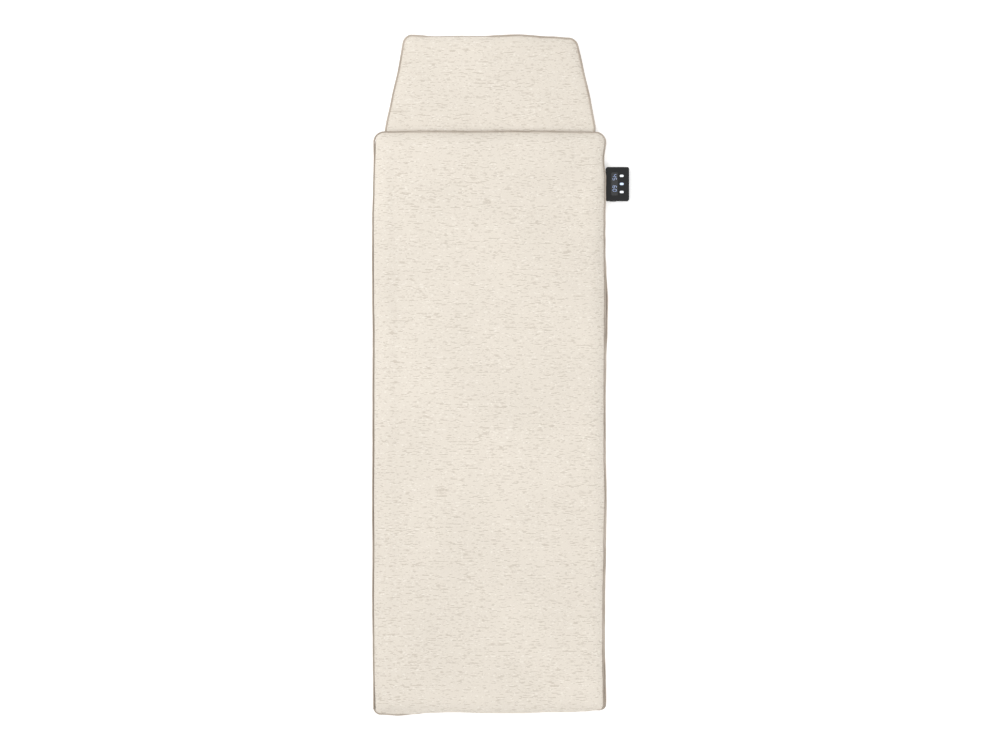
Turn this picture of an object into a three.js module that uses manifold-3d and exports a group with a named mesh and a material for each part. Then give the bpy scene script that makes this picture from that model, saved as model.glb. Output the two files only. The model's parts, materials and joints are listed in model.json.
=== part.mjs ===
// Infrared sauna blanket, in millimetres. A heated base mat carries a headrest, a heated cover that opens
// like a book about the left side seam, and a plug-in controller at the right edge.
// +Z is up and the head end is at +Y. The origin is on the underside of the base, midway across it and
// midway along its heated length.
import * as THREE from "three";
import { mergeVertices } from "three/addons/utils/BufferGeometryUtils.js";
import Module from "manifold-3d";

const wasm = await Module();
wasm.setup();

// ---- Blanket: driving dimensions ----
const BLANKET_LENGTH = 1800; // from the foot piping to the mouth piping
const BLANKET_WIDTH = 720; // over the piping
const MOUTH_CORNER_RADIUS = 30;
const FOOT_CORNER_RADIUS = 20;
const HEADREST_LENGTH = 300; // beyond the mouth
const HEADREST_ROOT_INSET = 34; // each side, from the blanket's edge to the headrest's at the mouth
const HEADREST_END_INSET = 89.5;
const HEADREST_CORNER_RADIUS = 28;
const SHOULDER_LENGTH = 38; // how far below the mouth the base starts to narrow
const SHOULDER_DEPTH = 8; // how far below the mouth it has narrowed
const SHOULDER_OUTER_RADIUS = 40;
const SHOULDER_INNER_RADIUS = 24;
const FOLD_BEYOND_MOUTH = 5;
const PIPING_DIAMETER = 5.3;
const PIPING_SIDES = 8;
const PIPING_SETBACK = 1; // of the piping's ends from the fold line
const GAP = 0.3; // between pieces that touch

// ---- Layers of one panel, from the outside in ----
const OUTER_FABRIC = 2;
const FELT = 7.8;
const FOIL = 0.4;
const CARRIER = 2;
const CORD_DIAMETER = 2.5;
const COMFORT_PAD = 2;
const LINING = 1.2;
const HOOK_TAPE = 2.5;
const LOOP_TAPE = 2.5;
const TAPE_WIDTH = 30;
const TAPE_EDGE_MARGIN = 5; // from the panel's wall to a tape
const FOLD_TAPE_WIDTH = 16;
const FOLD_TAPE = 1;

// ---- Heating ----
const CORD_RUNS = 12; // an even number, so that both ends finish at the head end
const CORD_SIDE_MARGIN = 90.5; // from the outside of the piping to the outer runs
const CORD_FOOT_MARGIN = 55;
const CORD_HEAD_MARGIN = 105;
const CORD_TAIL = 6; // straight ends beyond the head-end turns
const CORD_SIDES = 6;
const LEAD_DIAMETER = 2.4;
const LEAD_BEND = 6;
const LEAD_SPACING = 14;
const LEAD_COLUMN_SPACING = 8;
const SENSOR_SIZE = [6, 14, 2.3];
const THERMAL_FUSE_DIAMETER = 2.3;
const THERMAL_FUSE_LENGTH = 12;
const SENSOR_Y = 300;
const THERMAL_FUSE_Y = -200;

// ---- Controller ----
const CONTROLLER_LENGTH = 105; // along the blanket's edge
const CONTROLLER_WIDTH = 72;
const CONTROLLER_HEIGHT = 20;
const CONTROLLER_FROM_MOUTH = 161.5; // its middle, below the mouth
const CONTROLLER_CORNER_RADIUS = 6;
const SHELL_WALL = 1.8;
const SHELL_ROOF = 2.4;
const WINDOW_SIZE = [20, 72];
const WINDOW_THICKNESS = 1.2;
const WINDOW_LEDGE = 2;
const WINDOW_X = -9;
const WINDOW_CORNER_RADIUS = 3;
const BUTTON_SIZE = [12, 7];
const BUTTON_FLANGE = 1;
const BUTTON_FLANGE_HEIGHT = 1.4;
const BUTTON_PROUD = 0.5;
const BUTTON_TRAVEL = 0.6;
const BUTTON_X = 13;
const BUTTON_SPACING = 25;
const BOARD_THICKNESS = 1.6;
const BOARD_HEIGHT = 8; // its underside, above the controller's underside
const BOARD_MARGIN = 2.5;
const DISPLAY_SIZE = [15, 66];
const KEYPAD_SHEET = 1;
const KEYPAD_MARGIN = 4;
const DOME_RADIUS = 3;
const RELAY_SIZE = [15, 28, 5.2];
const RELAY_PLACE = [10, 12];
const CHIP_SIZE = [9, 9, 1.6];
const CHIP_PLACE = [28, -12];
const MAINS_FUSE_RADIUS = 2.5;
const MAINS_FUSE_LENGTH = 20;
const MAINS_FUSE_PLACE = [12, -22];
const BOSS_RADIUS = 3.4;
const BOSS_INSET = 8; // from the controller's outer faces
const SCREW_RADIUS = 1.1;
const SCREW_HEAD_RADIUS = 2.3;
const SCREW_HEAD_HEIGHT = 1.6;
const SCREW_END_GAP = 2; // from a screw's tip to the roof
const SCREW_CLEARANCE = 0.3;

// ---- Coupling between the controller and the base ----
const PLUG_WIDTH = 44;
const PLUG_LENGTH = 24;
const PLUG_FLANGE = 1.2;
const PLUG_FLANGE_LENGTH = 3;
const PLUG_CLEARANCE = 0.4;
const DOCK_WALL = 1.2;
const DOCK_BACK_WALL = 1.8;
const CONTACT_CARRIER_LENGTH = 15;
const CONTACT_RADIUS = 1.25;
const CONTACT_LENGTH = 13;
const CONTACT_SPACING = 10;
const CONTACT_COUNT = 4;
const CONTACT_CLEARANCE = 0.4;
const BEZEL_THICKNESS = 1.5;
const BEZEL_BORDER = 4;
const DOCK_NOTCH = 14; // how far the layers are cut back behind the dock, for the leads

// ---- Mains inlet, in the controller's foot-side face ----
const INLET_WIDTH = 15.6;
const INLET_HEIGHT = 8.4;
const INLET_DEPTH = 12;
const INLET_WALL = 1.6;
const INLET_RIM = 1.2;
const INLET_PIN_RADIUS = 1.2;
const INLET_PIN_SPACING = 8.6;
const INLET_PIN_LENGTH = 9;
const INLET_X = -14;

const ARC_DIVISIONS = 4; // half the straight steps in a rounded corner
const ROUND_SIDES = 20;

// ---- Worked out from the above ----
const PANEL = OUTER_FABRIC + FELT + FOIL + CARRIER + CORD_DIAMETER + COMFORT_PAD + LINING + 6 * GAP;
const PANEL_GAP = HOOK_TAPE + LOOP_TAPE + 3 * GAP;
const SEAM_HEIGHT = PANEL + PANEL_GAP / 2;
const HALF_WIDTH = BLANKET_WIDTH / 2;
const MOUTH_Y = BLANKET_LENGTH / 2;
const FOOT_Y = -BLANKET_LENGTH / 2;
const FOLD_Y = MOUTH_Y + FOLD_BEYOND_MOUTH;
const HEADREST_END_Y = MOUTH_Y + HEADREST_LENGTH;
const PIPING_RADIUS = PIPING_DIAMETER / 2;
const WALL_INSET = PIPING_DIAMETER + GAP; // from the outside of the piping to the fabric wall
const WALL_X = HALF_WIDTH - WALL_INSET;
const SEAM_X = -HALF_WIDTH + PIPING_RADIUS; // the cover's fold axis, along the side seam piping
const CONTROLLER_Y = MOUTH_Y - CONTROLLER_FROM_MOUTH;
const CONTROLLER_LEFT = HALF_WIDTH + 2 * GAP;
const CONTROLLER_X = CONTROLLER_LEFT + CONTROLLER_WIDTH / 2;
const PLUG_TIP_X = CONTROLLER_LEFT - PLUG_LENGTH;
const LAYER_INSET = OUTER_FABRIC + GAP;

// The dock's cavity takes the room between the base's outer fabric and its piping, and the plug fits it.
const CAVITY_LOW = OUTER_FABRIC + GAP + DOCK_WALL;
const CAVITY_HIGH = PANEL - PIPING_DIAMETER - GAP - DOCK_WALL;
const PLUG_HEIGHT = CAVITY_HIGH - CAVITY_LOW - 2 * PLUG_CLEARANCE;
const PLUG_CENTRE_HEIGHT = (CAVITY_LOW + CAVITY_HIGH) / 2; // above the floor
const PLUG_HEIGHT_IN_CASE = SHELL_WALL + GAP + PLUG_FLANGE + PLUG_HEIGHT / 2;
const CONTROLLER_LIFT = PLUG_CENTRE_HEIGHT - PLUG_HEIGHT_IN_CASE; // its underside, above the floor

const MATERIALS = {
  fabric: { color: 0xece3d6, roughness: 0.95, metalness: 0 },
  piping: { color: 0xbdb1a3, roughness: 0.9, metalness: 0 },
  lining: { color: 0xb9ab98, roughness: 0.55, metalness: 0 },
  felt: { color: 0xd9d6cf, roughness: 1, metalness: 0 },
  foil: { color: 0xc9ccd0, roughness: 0.3, metalness: 1 },
  carrier: { color: 0xe4e0d4, roughness: 1, metalness: 0 },
  heatingCord: { color: 0x3a3a3c, roughness: 0.6, metalness: 0 },
  lead: { color: 0x8a2f2a, roughness: 0.5, metalness: 0 },
  tape: { color: 0xd8cdbd, roughness: 0.95, metalness: 0 },
  casing: { color: 0x2b2b2c, roughness: 0.45, metalness: 0 },
  window: { color: 0x0e0f12, roughness: 0.1, metalness: 0 },
  key: { color: 0xf2f2f4, roughness: 0.4, metalness: 0 },
  silicone: { color: 0x9a9a9a, roughness: 0.7, metalness: 0 },
  board: { color: 0x1f5b3a, roughness: 0.5, metalness: 0 },
  component: { color: 0x1b1b1d, roughness: 0.5, metalness: 0 },
  contact: { color: 0xc9a45a, roughness: 0.3, metalness: 1 },
  steel: { color: 0xb8babd, roughness: 0.3, metalness: 1 },
};
for (const name in MATERIALS) MATERIALS[name] = new THREE.MeshStandardMaterial(MATERIALS[name]);

// ---- Outlines ----
const corner = (x, y, radius = 0) => ({ at: new THREE.Vector2(x, y), radius });

// The closed, anticlockwise outline through the given corners, each rounded to its own radius.
function roundedOutline(corners) {
  const path = new THREE.Path();
  corners.forEach(({ at, radius }, i) => {
    const before = corners.at(i - 1).at;
    const after = corners[(i + 1) % corners.length].at;
    const into = at.clone().sub(before).normalize();
    const out = after.clone().sub(at).normalize();
    const turn = Math.atan2(into.cross(out), into.dot(out));
    if (radius === 0) {
      if (i === 0) path.moveTo(at.x, at.y);
      else path.lineTo(at.x, at.y);
      return;
    }
    const reach = radius * Math.tan(Math.abs(turn) / 2);
    const start = at.clone().addScaledVector(into, -reach);
    const side = Math.sign(turn);
    const centre = start.clone().add(new THREE.Vector2(-into.y, into.x).multiplyScalar(side * radius));
    const from = Math.atan2(start.y - centre.y, start.x - centre.x);
    if (i === 0) path.moveTo(start.x, start.y);
    else path.lineTo(start.x, start.y);
    path.absarc(centre.x, centre.y, radius, from, from + turn, turn < 0);
  });
  const points = path.getPoints(ARC_DIVISIONS);
  return points.filter((p, i) => p.distanceTo(points.at(i - 1)) > 1e-4);
}

// The closed outline moved outwards by a distance, or inwards by a negative one.
function offset(outline, distance) {
  const normal = (a, b) => new THREE.Vector2(b.y - a.y, a.x - b.x).normalize();
  return outline.map((point, i) => {
    const n1 = normal(outline.at(i - 1), point);
    const n2 = normal(point, outline[(i + 1) % outline.length]);
    return point.clone().addScaledVector(n1.clone().add(n2), distance / (1 + n1.dot(n2)));
  });
}

const rectangle = (x0, y0, x1, y1, radius = 0) =>
  roundedOutline([
    corner(x0, y0, radius),
    corner(x1, y0, radius),
    corner(x1, y1, radius),
    corner(x0, y1, radius),
  ]);

const centredRectangle = (x, y, width, length, radius = 0) =>
  rectangle(x - width / 2, y - length / 2, x + width / 2, y + length / 2, radius);

// The corner radius that makes a rectangle's ends round, less a little so its sides stay straight.
const roundEnd = (height) => height / 2 - 0.1;

// ---- Solids ----
const slab = (outline, low, high) =>
  new THREE.ExtrudeGeometry(new THREE.Shape(outline), { depth: high - low, bevelEnabled: false }).translate(
    0,
    0,
    low,
  );

const box = ([x0, x1], [y0, y1], [z0, z1]) =>
  new THREE.BoxGeometry(x1 - x0, y1 - y0, z1 - z0).translate((x0 + x1) / 2, (y0 + y1) / 2, (z0 + z1) / 2);

// A cylinder along Z, and one along another axis, each between two places on its axis.
const upright = (x, y, radius, low, high) =>
  new THREE.CylinderGeometry(radius, radius, high - low, ROUND_SIDES)
    .rotateX(Math.PI / 2)
    .translate(x, y, (low + high) / 2);
const alongX = (y, z, radius, from, to) =>
  new THREE.CylinderGeometry(radius, radius, to - from, ROUND_SIDES)
    .rotateZ(Math.PI / 2)
    .translate((from + to) / 2, y, z);
const alongY = (x, z, radius, from, to) =>
  new THREE.CylinderGeometry(radius, radius, to - from, ROUND_SIDES).translate(x, (from + to) / 2, z);

// A route that turns only at its own points, so a tube along it has one ring at each of them.
class Route extends THREE.Curve {
  constructor(points) {
    super();
    this.points = points;
  }
  getPoint(t, target = new THREE.Vector3()) {
    const place = t * (this.points.length - 1);
    const i = Math.min(Math.floor(place), this.points.length - 2);
    return target.lerpVectors(this.points[i], this.points[i + 1], place - i);
  }
  getPointAt(u, target) {
    return this.getPoint(u, target);
  }
  getTangentAt(u, target = new THREE.Vector3()) {
    const i = Math.round(u * (this.points.length - 1));
    const direction = (a, b) => (a && b ? b.clone().sub(a).normalize() : new THREE.Vector3());
    target.copy(direction(this.points[i - 1], this.points[i]));
    return target.add(direction(this.points[i], this.points[i + 1])).normalize();
  }
}

function tube(points, radius, sides) {
  const section = new THREE.Shape(
    Array.from({ length: sides }, (_, i) => {
      const angle = (2 * Math.PI * (i + 0.5)) / sides;
      return new THREE.Vector2(radius * Math.cos(angle), radius * Math.sin(angle));
    }),
  );
  return new THREE.ExtrudeGeometry(section, { steps: points.length - 1, extrudePath: new Route(points) });
}

// The route through the given places, with each turn rounded.
function bentRoute(places, bend) {
  const points = [places[0]];
  for (let i = 1; i < places.length - 1; i++) {
    const reach = (other) => {
      const way = other.clone().sub(places[i]);
      return places[i].clone().addScaledVector(way, Math.min(bend, way.length() / 2) / way.length());
    };
    const curve = new THREE.QuadraticBezierCurve3(reach(places[i - 1]), places[i], reach(places[i + 1]));
    points.push(...curve.getPoints(4));
  }
  return [...points, places.at(-1)];
}

function solid(geometry) {
  const bare = geometry.index ? geometry.clone() : mergeVertices(geometry.clone(), 0);
  bare.deleteAttribute("normal");
  bare.deleteAttribute("uv");
  const merged = mergeVertices(bare, 1e-4);
  return new wasm.Manifold(
    new wasm.Mesh({
      numProp: 3,
      vertProperties: new Float32Array(merged.attributes.position.array),
      triVerts: new Uint32Array(merged.index.array),
    }),
  );
}

function geometryOf(manifold) {
  const mesh = manifold.getMesh();
  const positions = new Float32Array(mesh.numVert * 3);
  for (let i = 0; i < mesh.numVert; i++) {
    positions.set(mesh.vertProperties.subarray(i * mesh.numProp, i * mesh.numProp + 3), 3 * i);
  }
  const geometry = new THREE.BufferGeometry();
  geometry.setAttribute("position", new THREE.BufferAttribute(positions, 3));
  geometry.setIndex(new THREE.BufferAttribute(mesh.triVerts, 1));
  geometry.computeVertexNormals();
  return geometry;
}

const cut = (body, ...tools) =>
  geometryOf(tools.reduce((left, tool) => left.subtract(solid(tool)), solid(body)));
const join = (...bodies) => geometryOf(bodies.map(solid).reduce((whole, body) => whole.add(body)));

function piece(group, name, geometry, material) {
  const mesh = new THREE.Mesh(geometry, material);
  mesh.name = name;
  group.add(mesh);
}

const at = (z) => (point) => new THREE.Vector3(point.x, point.y, z);

// ---- The three sewn outlines, taken over their piping ----
function headrestHalfWidth(y) {
  const along = (y - MOUTH_Y) / HEADREST_LENGTH;
  return HALF_WIDTH - THREE.MathUtils.lerp(HEADREST_ROOT_INSET, HEADREST_END_INSET, along);
}

const coverOutline = roundedOutline([
  corner(-HALF_WIDTH, FOOT_Y, FOOT_CORNER_RADIUS),
  corner(HALF_WIDTH, FOOT_Y, FOOT_CORNER_RADIUS),
  corner(HALF_WIDTH, MOUTH_Y, MOUTH_CORNER_RADIUS),
  corner(-HALF_WIDTH, MOUTH_Y, MOUTH_CORNER_RADIUS),
]);

const baseEnd = FOLD_Y - GAP / 2;
const baseOutline = roundedOutline([
  corner(-headrestHalfWidth(baseEnd), baseEnd),
  corner(-headrestHalfWidth(MOUTH_Y), MOUTH_Y - SHOULDER_DEPTH, SHOULDER_INNER_RADIUS),
  corner(-HALF_WIDTH, MOUTH_Y - SHOULDER_LENGTH, SHOULDER_OUTER_RADIUS),
  corner(-HALF_WIDTH, FOOT_Y, FOOT_CORNER_RADIUS),
  corner(HALF_WIDTH, FOOT_Y, FOOT_CORNER_RADIUS),
  corner(HALF_WIDTH, MOUTH_Y - SHOULDER_LENGTH, SHOULDER_OUTER_RADIUS),
  corner(headrestHalfWidth(MOUTH_Y), MOUTH_Y - SHOULDER_DEPTH, SHOULDER_INNER_RADIUS),
  corner(headrestHalfWidth(baseEnd), baseEnd),
]);

const headrestStart = FOLD_Y + GAP / 2;
const headrestOutline = roundedOutline([
  corner(headrestHalfWidth(headrestStart), headrestStart),
  corner(headrestHalfWidth(HEADREST_END_Y), HEADREST_END_Y, HEADREST_CORNER_RADIUS),
  corner(-headrestHalfWidth(HEADREST_END_Y), HEADREST_END_Y, HEADREST_CORNER_RADIUS),
  corner(-headrestHalfWidth(headrestStart), headrestStart),
]);

// An outline moved in by a distance, but along its straight end at the fold line only by a setback.
const insetFromFold = (outline, distance, foldY, setback = 0) =>
  offset(outline, -distance).map((point, i) =>
    Math.abs(outline[i].y - foldY) < 1e-6 ? new THREE.Vector2(point.x, foldY + setback) : point,
  );

const coverWall = offset(coverOutline, -WALL_INSET);
const baseWall = insetFromFold(baseOutline, WALL_INSET, baseEnd);
const headrestWall = insetFromFold(headrestOutline, WALL_INSET, headrestStart);

// ---- Panels ----
// A shallow fabric tray: a sheet with a wall round it.
const tray = (wall, low, high) =>
  cut(slab(wall, low, high), slab(offset(wall, -OUTER_FABRIC), low + OUTER_FABRIC, high + 1));

// Each layer's lower and upper height in the base, from the outer fabric to the lining.
function stackLayers() {
  const heights = {};
  let low = OUTER_FABRIC + GAP;
  const layers = {
    felt: FELT,
    foil: FOIL,
    carrier: CARRIER,
    cord: CORD_DIAMETER,
    pad: COMFORT_PAD,
    lining: LINING,
  };
  for (const [name, thickness] of Object.entries(layers)) {
    heights[name] = [low, low + thickness];
    low += thickness + GAP;
  }
  return heights;
}
const BASE_LAYERS = stackLayers();
const CORD_HEIGHT = (BASE_LAYERS.cord[0] + BASE_LAYERS.cord[1]) / 2;

// The same height in the cover, whose layers mirror the base's about the side seam.
const inCover = (z) => 2 * SEAM_HEIGHT - z;
const layerInCover = (name) => BASE_LAYERS[name].map(inCover).reverse();

function heatingCord(z) {
  const firstX = CORD_SIDE_MARGIN - HALF_WIDTH;
  const spacing = (-2 * firstX) / (CORD_RUNS - 1);
  const turnRadius = spacing / 2;
  const headY = MOUTH_Y - CORD_HEAD_MARGIN - turnRadius;
  const footY = FOOT_Y + CORD_FOOT_MARGIN + turnRadius;
  const tailY = headY + turnRadius + CORD_TAIL;
  const points = [new THREE.Vector3(firstX, tailY, z)];
  for (let run = 0; run < CORD_RUNS - 1; run++) {
    const atFoot = run % 2 === 0;
    const turn = new THREE.EllipseCurve(
      firstX + (run + 0.5) * spacing,
      atFoot ? footY : headY,
      turnRadius,
      turnRadius,
      Math.PI,
      atFoot ? 2 * Math.PI : 0,
      !atFoot,
    );
    points.push(...turn.getPoints(2 * ARC_DIVISIONS).map(at(z)));
  }
  points.push(new THREE.Vector3(-firstX, tailY, z));
  return { geometry: tube(points, CORD_DIAMETER / 2, CORD_SIDES), endX: -firstX, endY: tailY };
}

// Piping along a route in plan, at a height.
const piping = (route, z) => tube(route.map(at(z)), PIPING_RADIUS, PIPING_SIDES);

const lead = (places) =>
  tube(
    bentRoute(places.map(([x, y, z]) => new THREE.Vector3(x, y, z)), LEAD_BEND),
    LEAD_DIAMETER / 2,
    CORD_SIDES,
  );

const DOCK_BACK_X = PLUG_TIP_X - PLUG_CLEARANCE - CONTACT_CARRIER_LENGTH - DOCK_BACK_WALL;
const DOCK_HALF_WIDTH = PLUG_WIDTH / 2 + PLUG_CLEARANCE + 2 * DOCK_WALL;
const DOCK_LOW = OUTER_FABRIC + GAP;
const DOCK_HIGH = CAVITY_HIGH + DOCK_WALL;
const CAVITY_HALF_WIDTH = PLUG_WIDTH / 2 + PLUG_CLEARANCE;
const dockY = (side) => CONTROLLER_Y + side * DOCK_HALF_WIDTH;

// The room cut out of the base's lower layers for the dock and the ends of the leads.
const dockNotch = (low, high) =>
  box(
    [DOCK_BACK_X - DOCK_NOTCH, HALF_WIDTH],
    [dockY(-1) - GAP, dockY(1) + GAP],
    [low - 1, high + 1],
  );

function basePanel(group) {
  const opening = box(
    [WALL_X - 2 * OUTER_FABRIC, HALF_WIDTH],
    [CONTROLLER_Y - CAVITY_HALF_WIDTH - GAP, CONTROLLER_Y + CAVITY_HALF_WIDTH + GAP],
    [CAVITY_LOW - GAP, CAVITY_HIGH + GAP],
  );
  piece(group, "base_outer_fabric", cut(tray(baseWall, 0, PANEL), opening), MATERIALS.fabric);

  const inner = offset(baseWall, -LAYER_INSET);
  const layer = (name) => slab(inner, ...BASE_LAYERS[name]);
  const notched = (name) => cut(layer(name), dockNotch(...BASE_LAYERS[name]));
  piece(group, "base_insulation_felt", notched("felt"), MATERIALS.felt);
  piece(group, "base_reflective_foil", notched("foil"), MATERIALS.foil);
  piece(group, "base_heating_carrier", notched("carrier"), MATERIALS.carrier);
  piece(group, "base_comfort_pad", layer("pad"), MATERIALS.felt);
  piece(group, "base_inner_lining", layer("lining"), MATERIALS.lining);

  const cord = heatingCord(CORD_HEIGHT);
  piece(group, "base_heating_cord", cord.geometry, MATERIALS.heatingCord);
  baseLeads(group, cord);
  sensors(group, "base", BASE_LAYERS.cord[0]);

  const pipingRoute = insetFromFold(baseOutline, PIPING_RADIUS, baseEnd, -PIPING_SETBACK);
  piece(group, "base_piping", piping(pipingRoute, PANEL - PIPING_RADIUS), MATERIALS.piping);
  const seamEnds = [FOOT_Y + FOOT_CORNER_RADIUS, MOUTH_Y - MOUTH_CORNER_RADIUS];
  const seam = seamEnds.map((y) => new THREE.Vector3(SEAM_X, y, SEAM_HEIGHT));
  piece(group, "side_seam_piping", tube(seam, PIPING_RADIUS, PIPING_SIDES), MATERIALS.piping);

  const tapeX = SEAM_X + PIPING_RADIUS + 2 * GAP;
  const tapeZ = [SEAM_HEIGHT - FOLD_TAPE / 2, SEAM_HEIGHT + FOLD_TAPE / 2];
  piece(group, "side_fold_tape", box([tapeX, tapeX + FOLD_TAPE_WIDTH], seamEnds, tapeZ), MATERIALS.tape);
  fasteningTapes(group, "hook_tape", PANEL + GAP, HOOK_TAPE);
}

// The base's three leads run in columns beside the dock, then drop to its back.
function baseLeads(group, cord) {
  const tailGap = cord.endY + GAP;
  const columnX = (i) => DOCK_BACK_X - DOCK_NOTCH - (3 - i) * LEAD_COLUMN_SPACING;
  const headRow = (i) => cord.endY + (i + 1) * LEAD_SPACING;
  const dropX = DOCK_BACK_X - DOCK_NOTCH + 2;
  const intoDock = (i) => {
    const y = CONTROLLER_Y + (i - 1) * LEAD_SPACING;
    return [
      [columnX(i), y, CORD_HEIGHT],
      [dropX, y, CORD_HEIGHT],
      [dropX + LEAD_BEND, y, PLUG_CENTRE_HEIGHT],
      [DOCK_BACK_X - GAP, y, PLUG_CENTRE_HEIGHT],
    ];
  };
  const routes = {
    base_supply_lead: [
      [cord.endX, tailGap, CORD_HEIGHT],
      [cord.endX, headRow(0), CORD_HEIGHT],
      [columnX(0), headRow(0), CORD_HEIGHT],
      ...intoDock(0),
    ],
    base_return_lead: [
      [-cord.endX, tailGap, CORD_HEIGHT],
      [-cord.endX, headRow(1), CORD_HEIGHT],
      [columnX(1), headRow(1), CORD_HEIGHT],
      ...intoDock(1),
    ],
    cover_feed_lead: [
      [-WALL_X + LAYER_INSET, headRow(2), CORD_HEIGHT],
      [columnX(2), headRow(2), CORD_HEIGHT],
      ...intoDock(2),
    ],
  };
  for (const [name, places] of Object.entries(routes)) piece(group, name, lead(places), MATERIALS.lead);
}

// A temperature sensor and a thermal fuse between the middle runs, lying on the heating carrier.
function sensors(group, panel, low) {
  const [width, length, height] = SENSOR_SIZE;
  const sensor = slab(centredRectangle(0, SENSOR_Y, width, length), low, low + height);
  piece(group, panel + "_temperature_sensor", sensor, MATERIALS.component);
  const radius = THERMAL_FUSE_DIAMETER / 2;
  const halfLength = THERMAL_FUSE_LENGTH / 2;
  const fuse = alongY(0, low + radius, radius, THERMAL_FUSE_Y - halfLength, THERMAL_FUSE_Y + halfLength);
  piece(group, panel + "_thermal_fuse", fuse, MATERIALS.steel);
}

// Hook or loop tape along the right edge, above and below the controller, and along the foot.
function fasteningTapes(group, kind, low, thickness) {
  const right = WALL_X - TAPE_EDGE_MARGIN;
  const footY = FOOT_Y + WALL_INSET + TAPE_EDGE_MARGIN;
  const beside = CONTROLLER_LENGTH / 2 + TAPE_EDGE_MARGIN;
  const upperEnd = MOUTH_Y - MOUTH_CORNER_RADIUS - TAPE_EDGE_MARGIN;
  const tape = (x0, y0, x1, y1) => box([x0, x1], [y0, y1], [low, low + thickness]);
  piece(
    group,
    kind + "_upper",
    tape(right - TAPE_WIDTH, CONTROLLER_Y + beside, right, upperEnd),
    MATERIALS.tape,
  );
  piece(
    group,
    kind + "_lower",
    tape(right - TAPE_WIDTH, footY + TAPE_WIDTH + TAPE_EDGE_MARGIN, right, CONTROLLER_Y - beside),
    MATERIALS.tape,
  );
  piece(
    group,
    kind + "_foot",
    tape(-right + TAPE_WIDTH, footY, right - TAPE_EDGE_MARGIN, footY + TAPE_WIDTH),
    MATERIALS.tape,
  );
}

function coverPanel(group) {
  const roof = slab(coverWall, inCover(PANEL), inCover(0));
  const hollow = slab(offset(coverWall, -OUTER_FABRIC), inCover(PANEL) - 1, inCover(OUTER_FABRIC));
  piece(group, "cover_outer_fabric", cut(roof, hollow), MATERIALS.fabric);

  const inner = offset(coverWall, -LAYER_INSET);
  const layer = (name) => slab(inner, ...layerInCover(name));
  piece(group, "cover_insulation_felt", layer("felt"), MATERIALS.felt);
  piece(group, "cover_reflective_foil", layer("foil"), MATERIALS.foil);
  piece(group, "cover_heating_carrier", layer("carrier"), MATERIALS.carrier);
  piece(group, "cover_comfort_pad", layer("pad"), MATERIALS.felt);
  piece(group, "cover_inner_lining", layer("lining"), MATERIALS.lining);

  const cordZ = inCover(CORD_HEIGHT);
  const cord = heatingCord(cordZ);
  piece(group, "cover_heating_cord", cord.geometry, MATERIALS.heatingCord);
  const leftX = -WALL_X + LAYER_INSET;
  const routes = {
    cover_supply_lead: [
      [leftX, cord.endY + LEAD_SPACING, cordZ],
      [-cord.endX, cord.endY + LEAD_SPACING, cordZ],
      [-cord.endX, cord.endY + GAP, cordZ],
    ],
    cover_return_lead: [
      [leftX, cord.endY + 2 * LEAD_SPACING, cordZ],
      [cord.endX, cord.endY + 2 * LEAD_SPACING, cordZ],
      [cord.endX, cord.endY + GAP, cordZ],
    ],
  };
  for (const [name, places] of Object.entries(routes)) piece(group, name, lead(places), MATERIALS.lead);
  sensors(group, "cover", inCover(BASE_LAYERS.cord[1]));

  // The cover's piping stops short of the side seam, so that it clears the base's when the cover is open.
  const clearOfSeam = (point) => point.x > SEAM_X + PIPING_RADIUS + GAP;
  const pipingRoute = offset(coverOutline, -PIPING_RADIUS).filter(clearOfSeam);
  piece(group, "cover_piping", piping(pipingRoute, inCover(PANEL - PIPING_RADIUS)), MATERIALS.piping);
  fasteningTapes(group, "loop_tape", inCover(PANEL) - GAP - LOOP_TAPE, LOOP_TAPE);
}

function headrest(group) {
  const topLow = PANEL - OUTER_FABRIC;
  piece(group, "headrest_bottom_fabric", tray(headrestWall, 0, topLow - GAP), MATERIALS.fabric);
  piece(
    group,
    "headrest_wadding",
    slab(offset(headrestWall, -LAYER_INSET), LAYER_INSET, topLow - GAP),
    MATERIALS.felt,
  );
  piece(group, "headrest_top_fabric", slab(headrestWall, topLow, PANEL), MATERIALS.fabric);
  const pipingRoute = insetFromFold(headrestOutline, PIPING_RADIUS, headrestStart, PIPING_SETBACK);
  piece(group, "headrest_piping", piping(pipingRoute, PANEL - PIPING_RADIUS), MATERIALS.piping);
}

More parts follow.
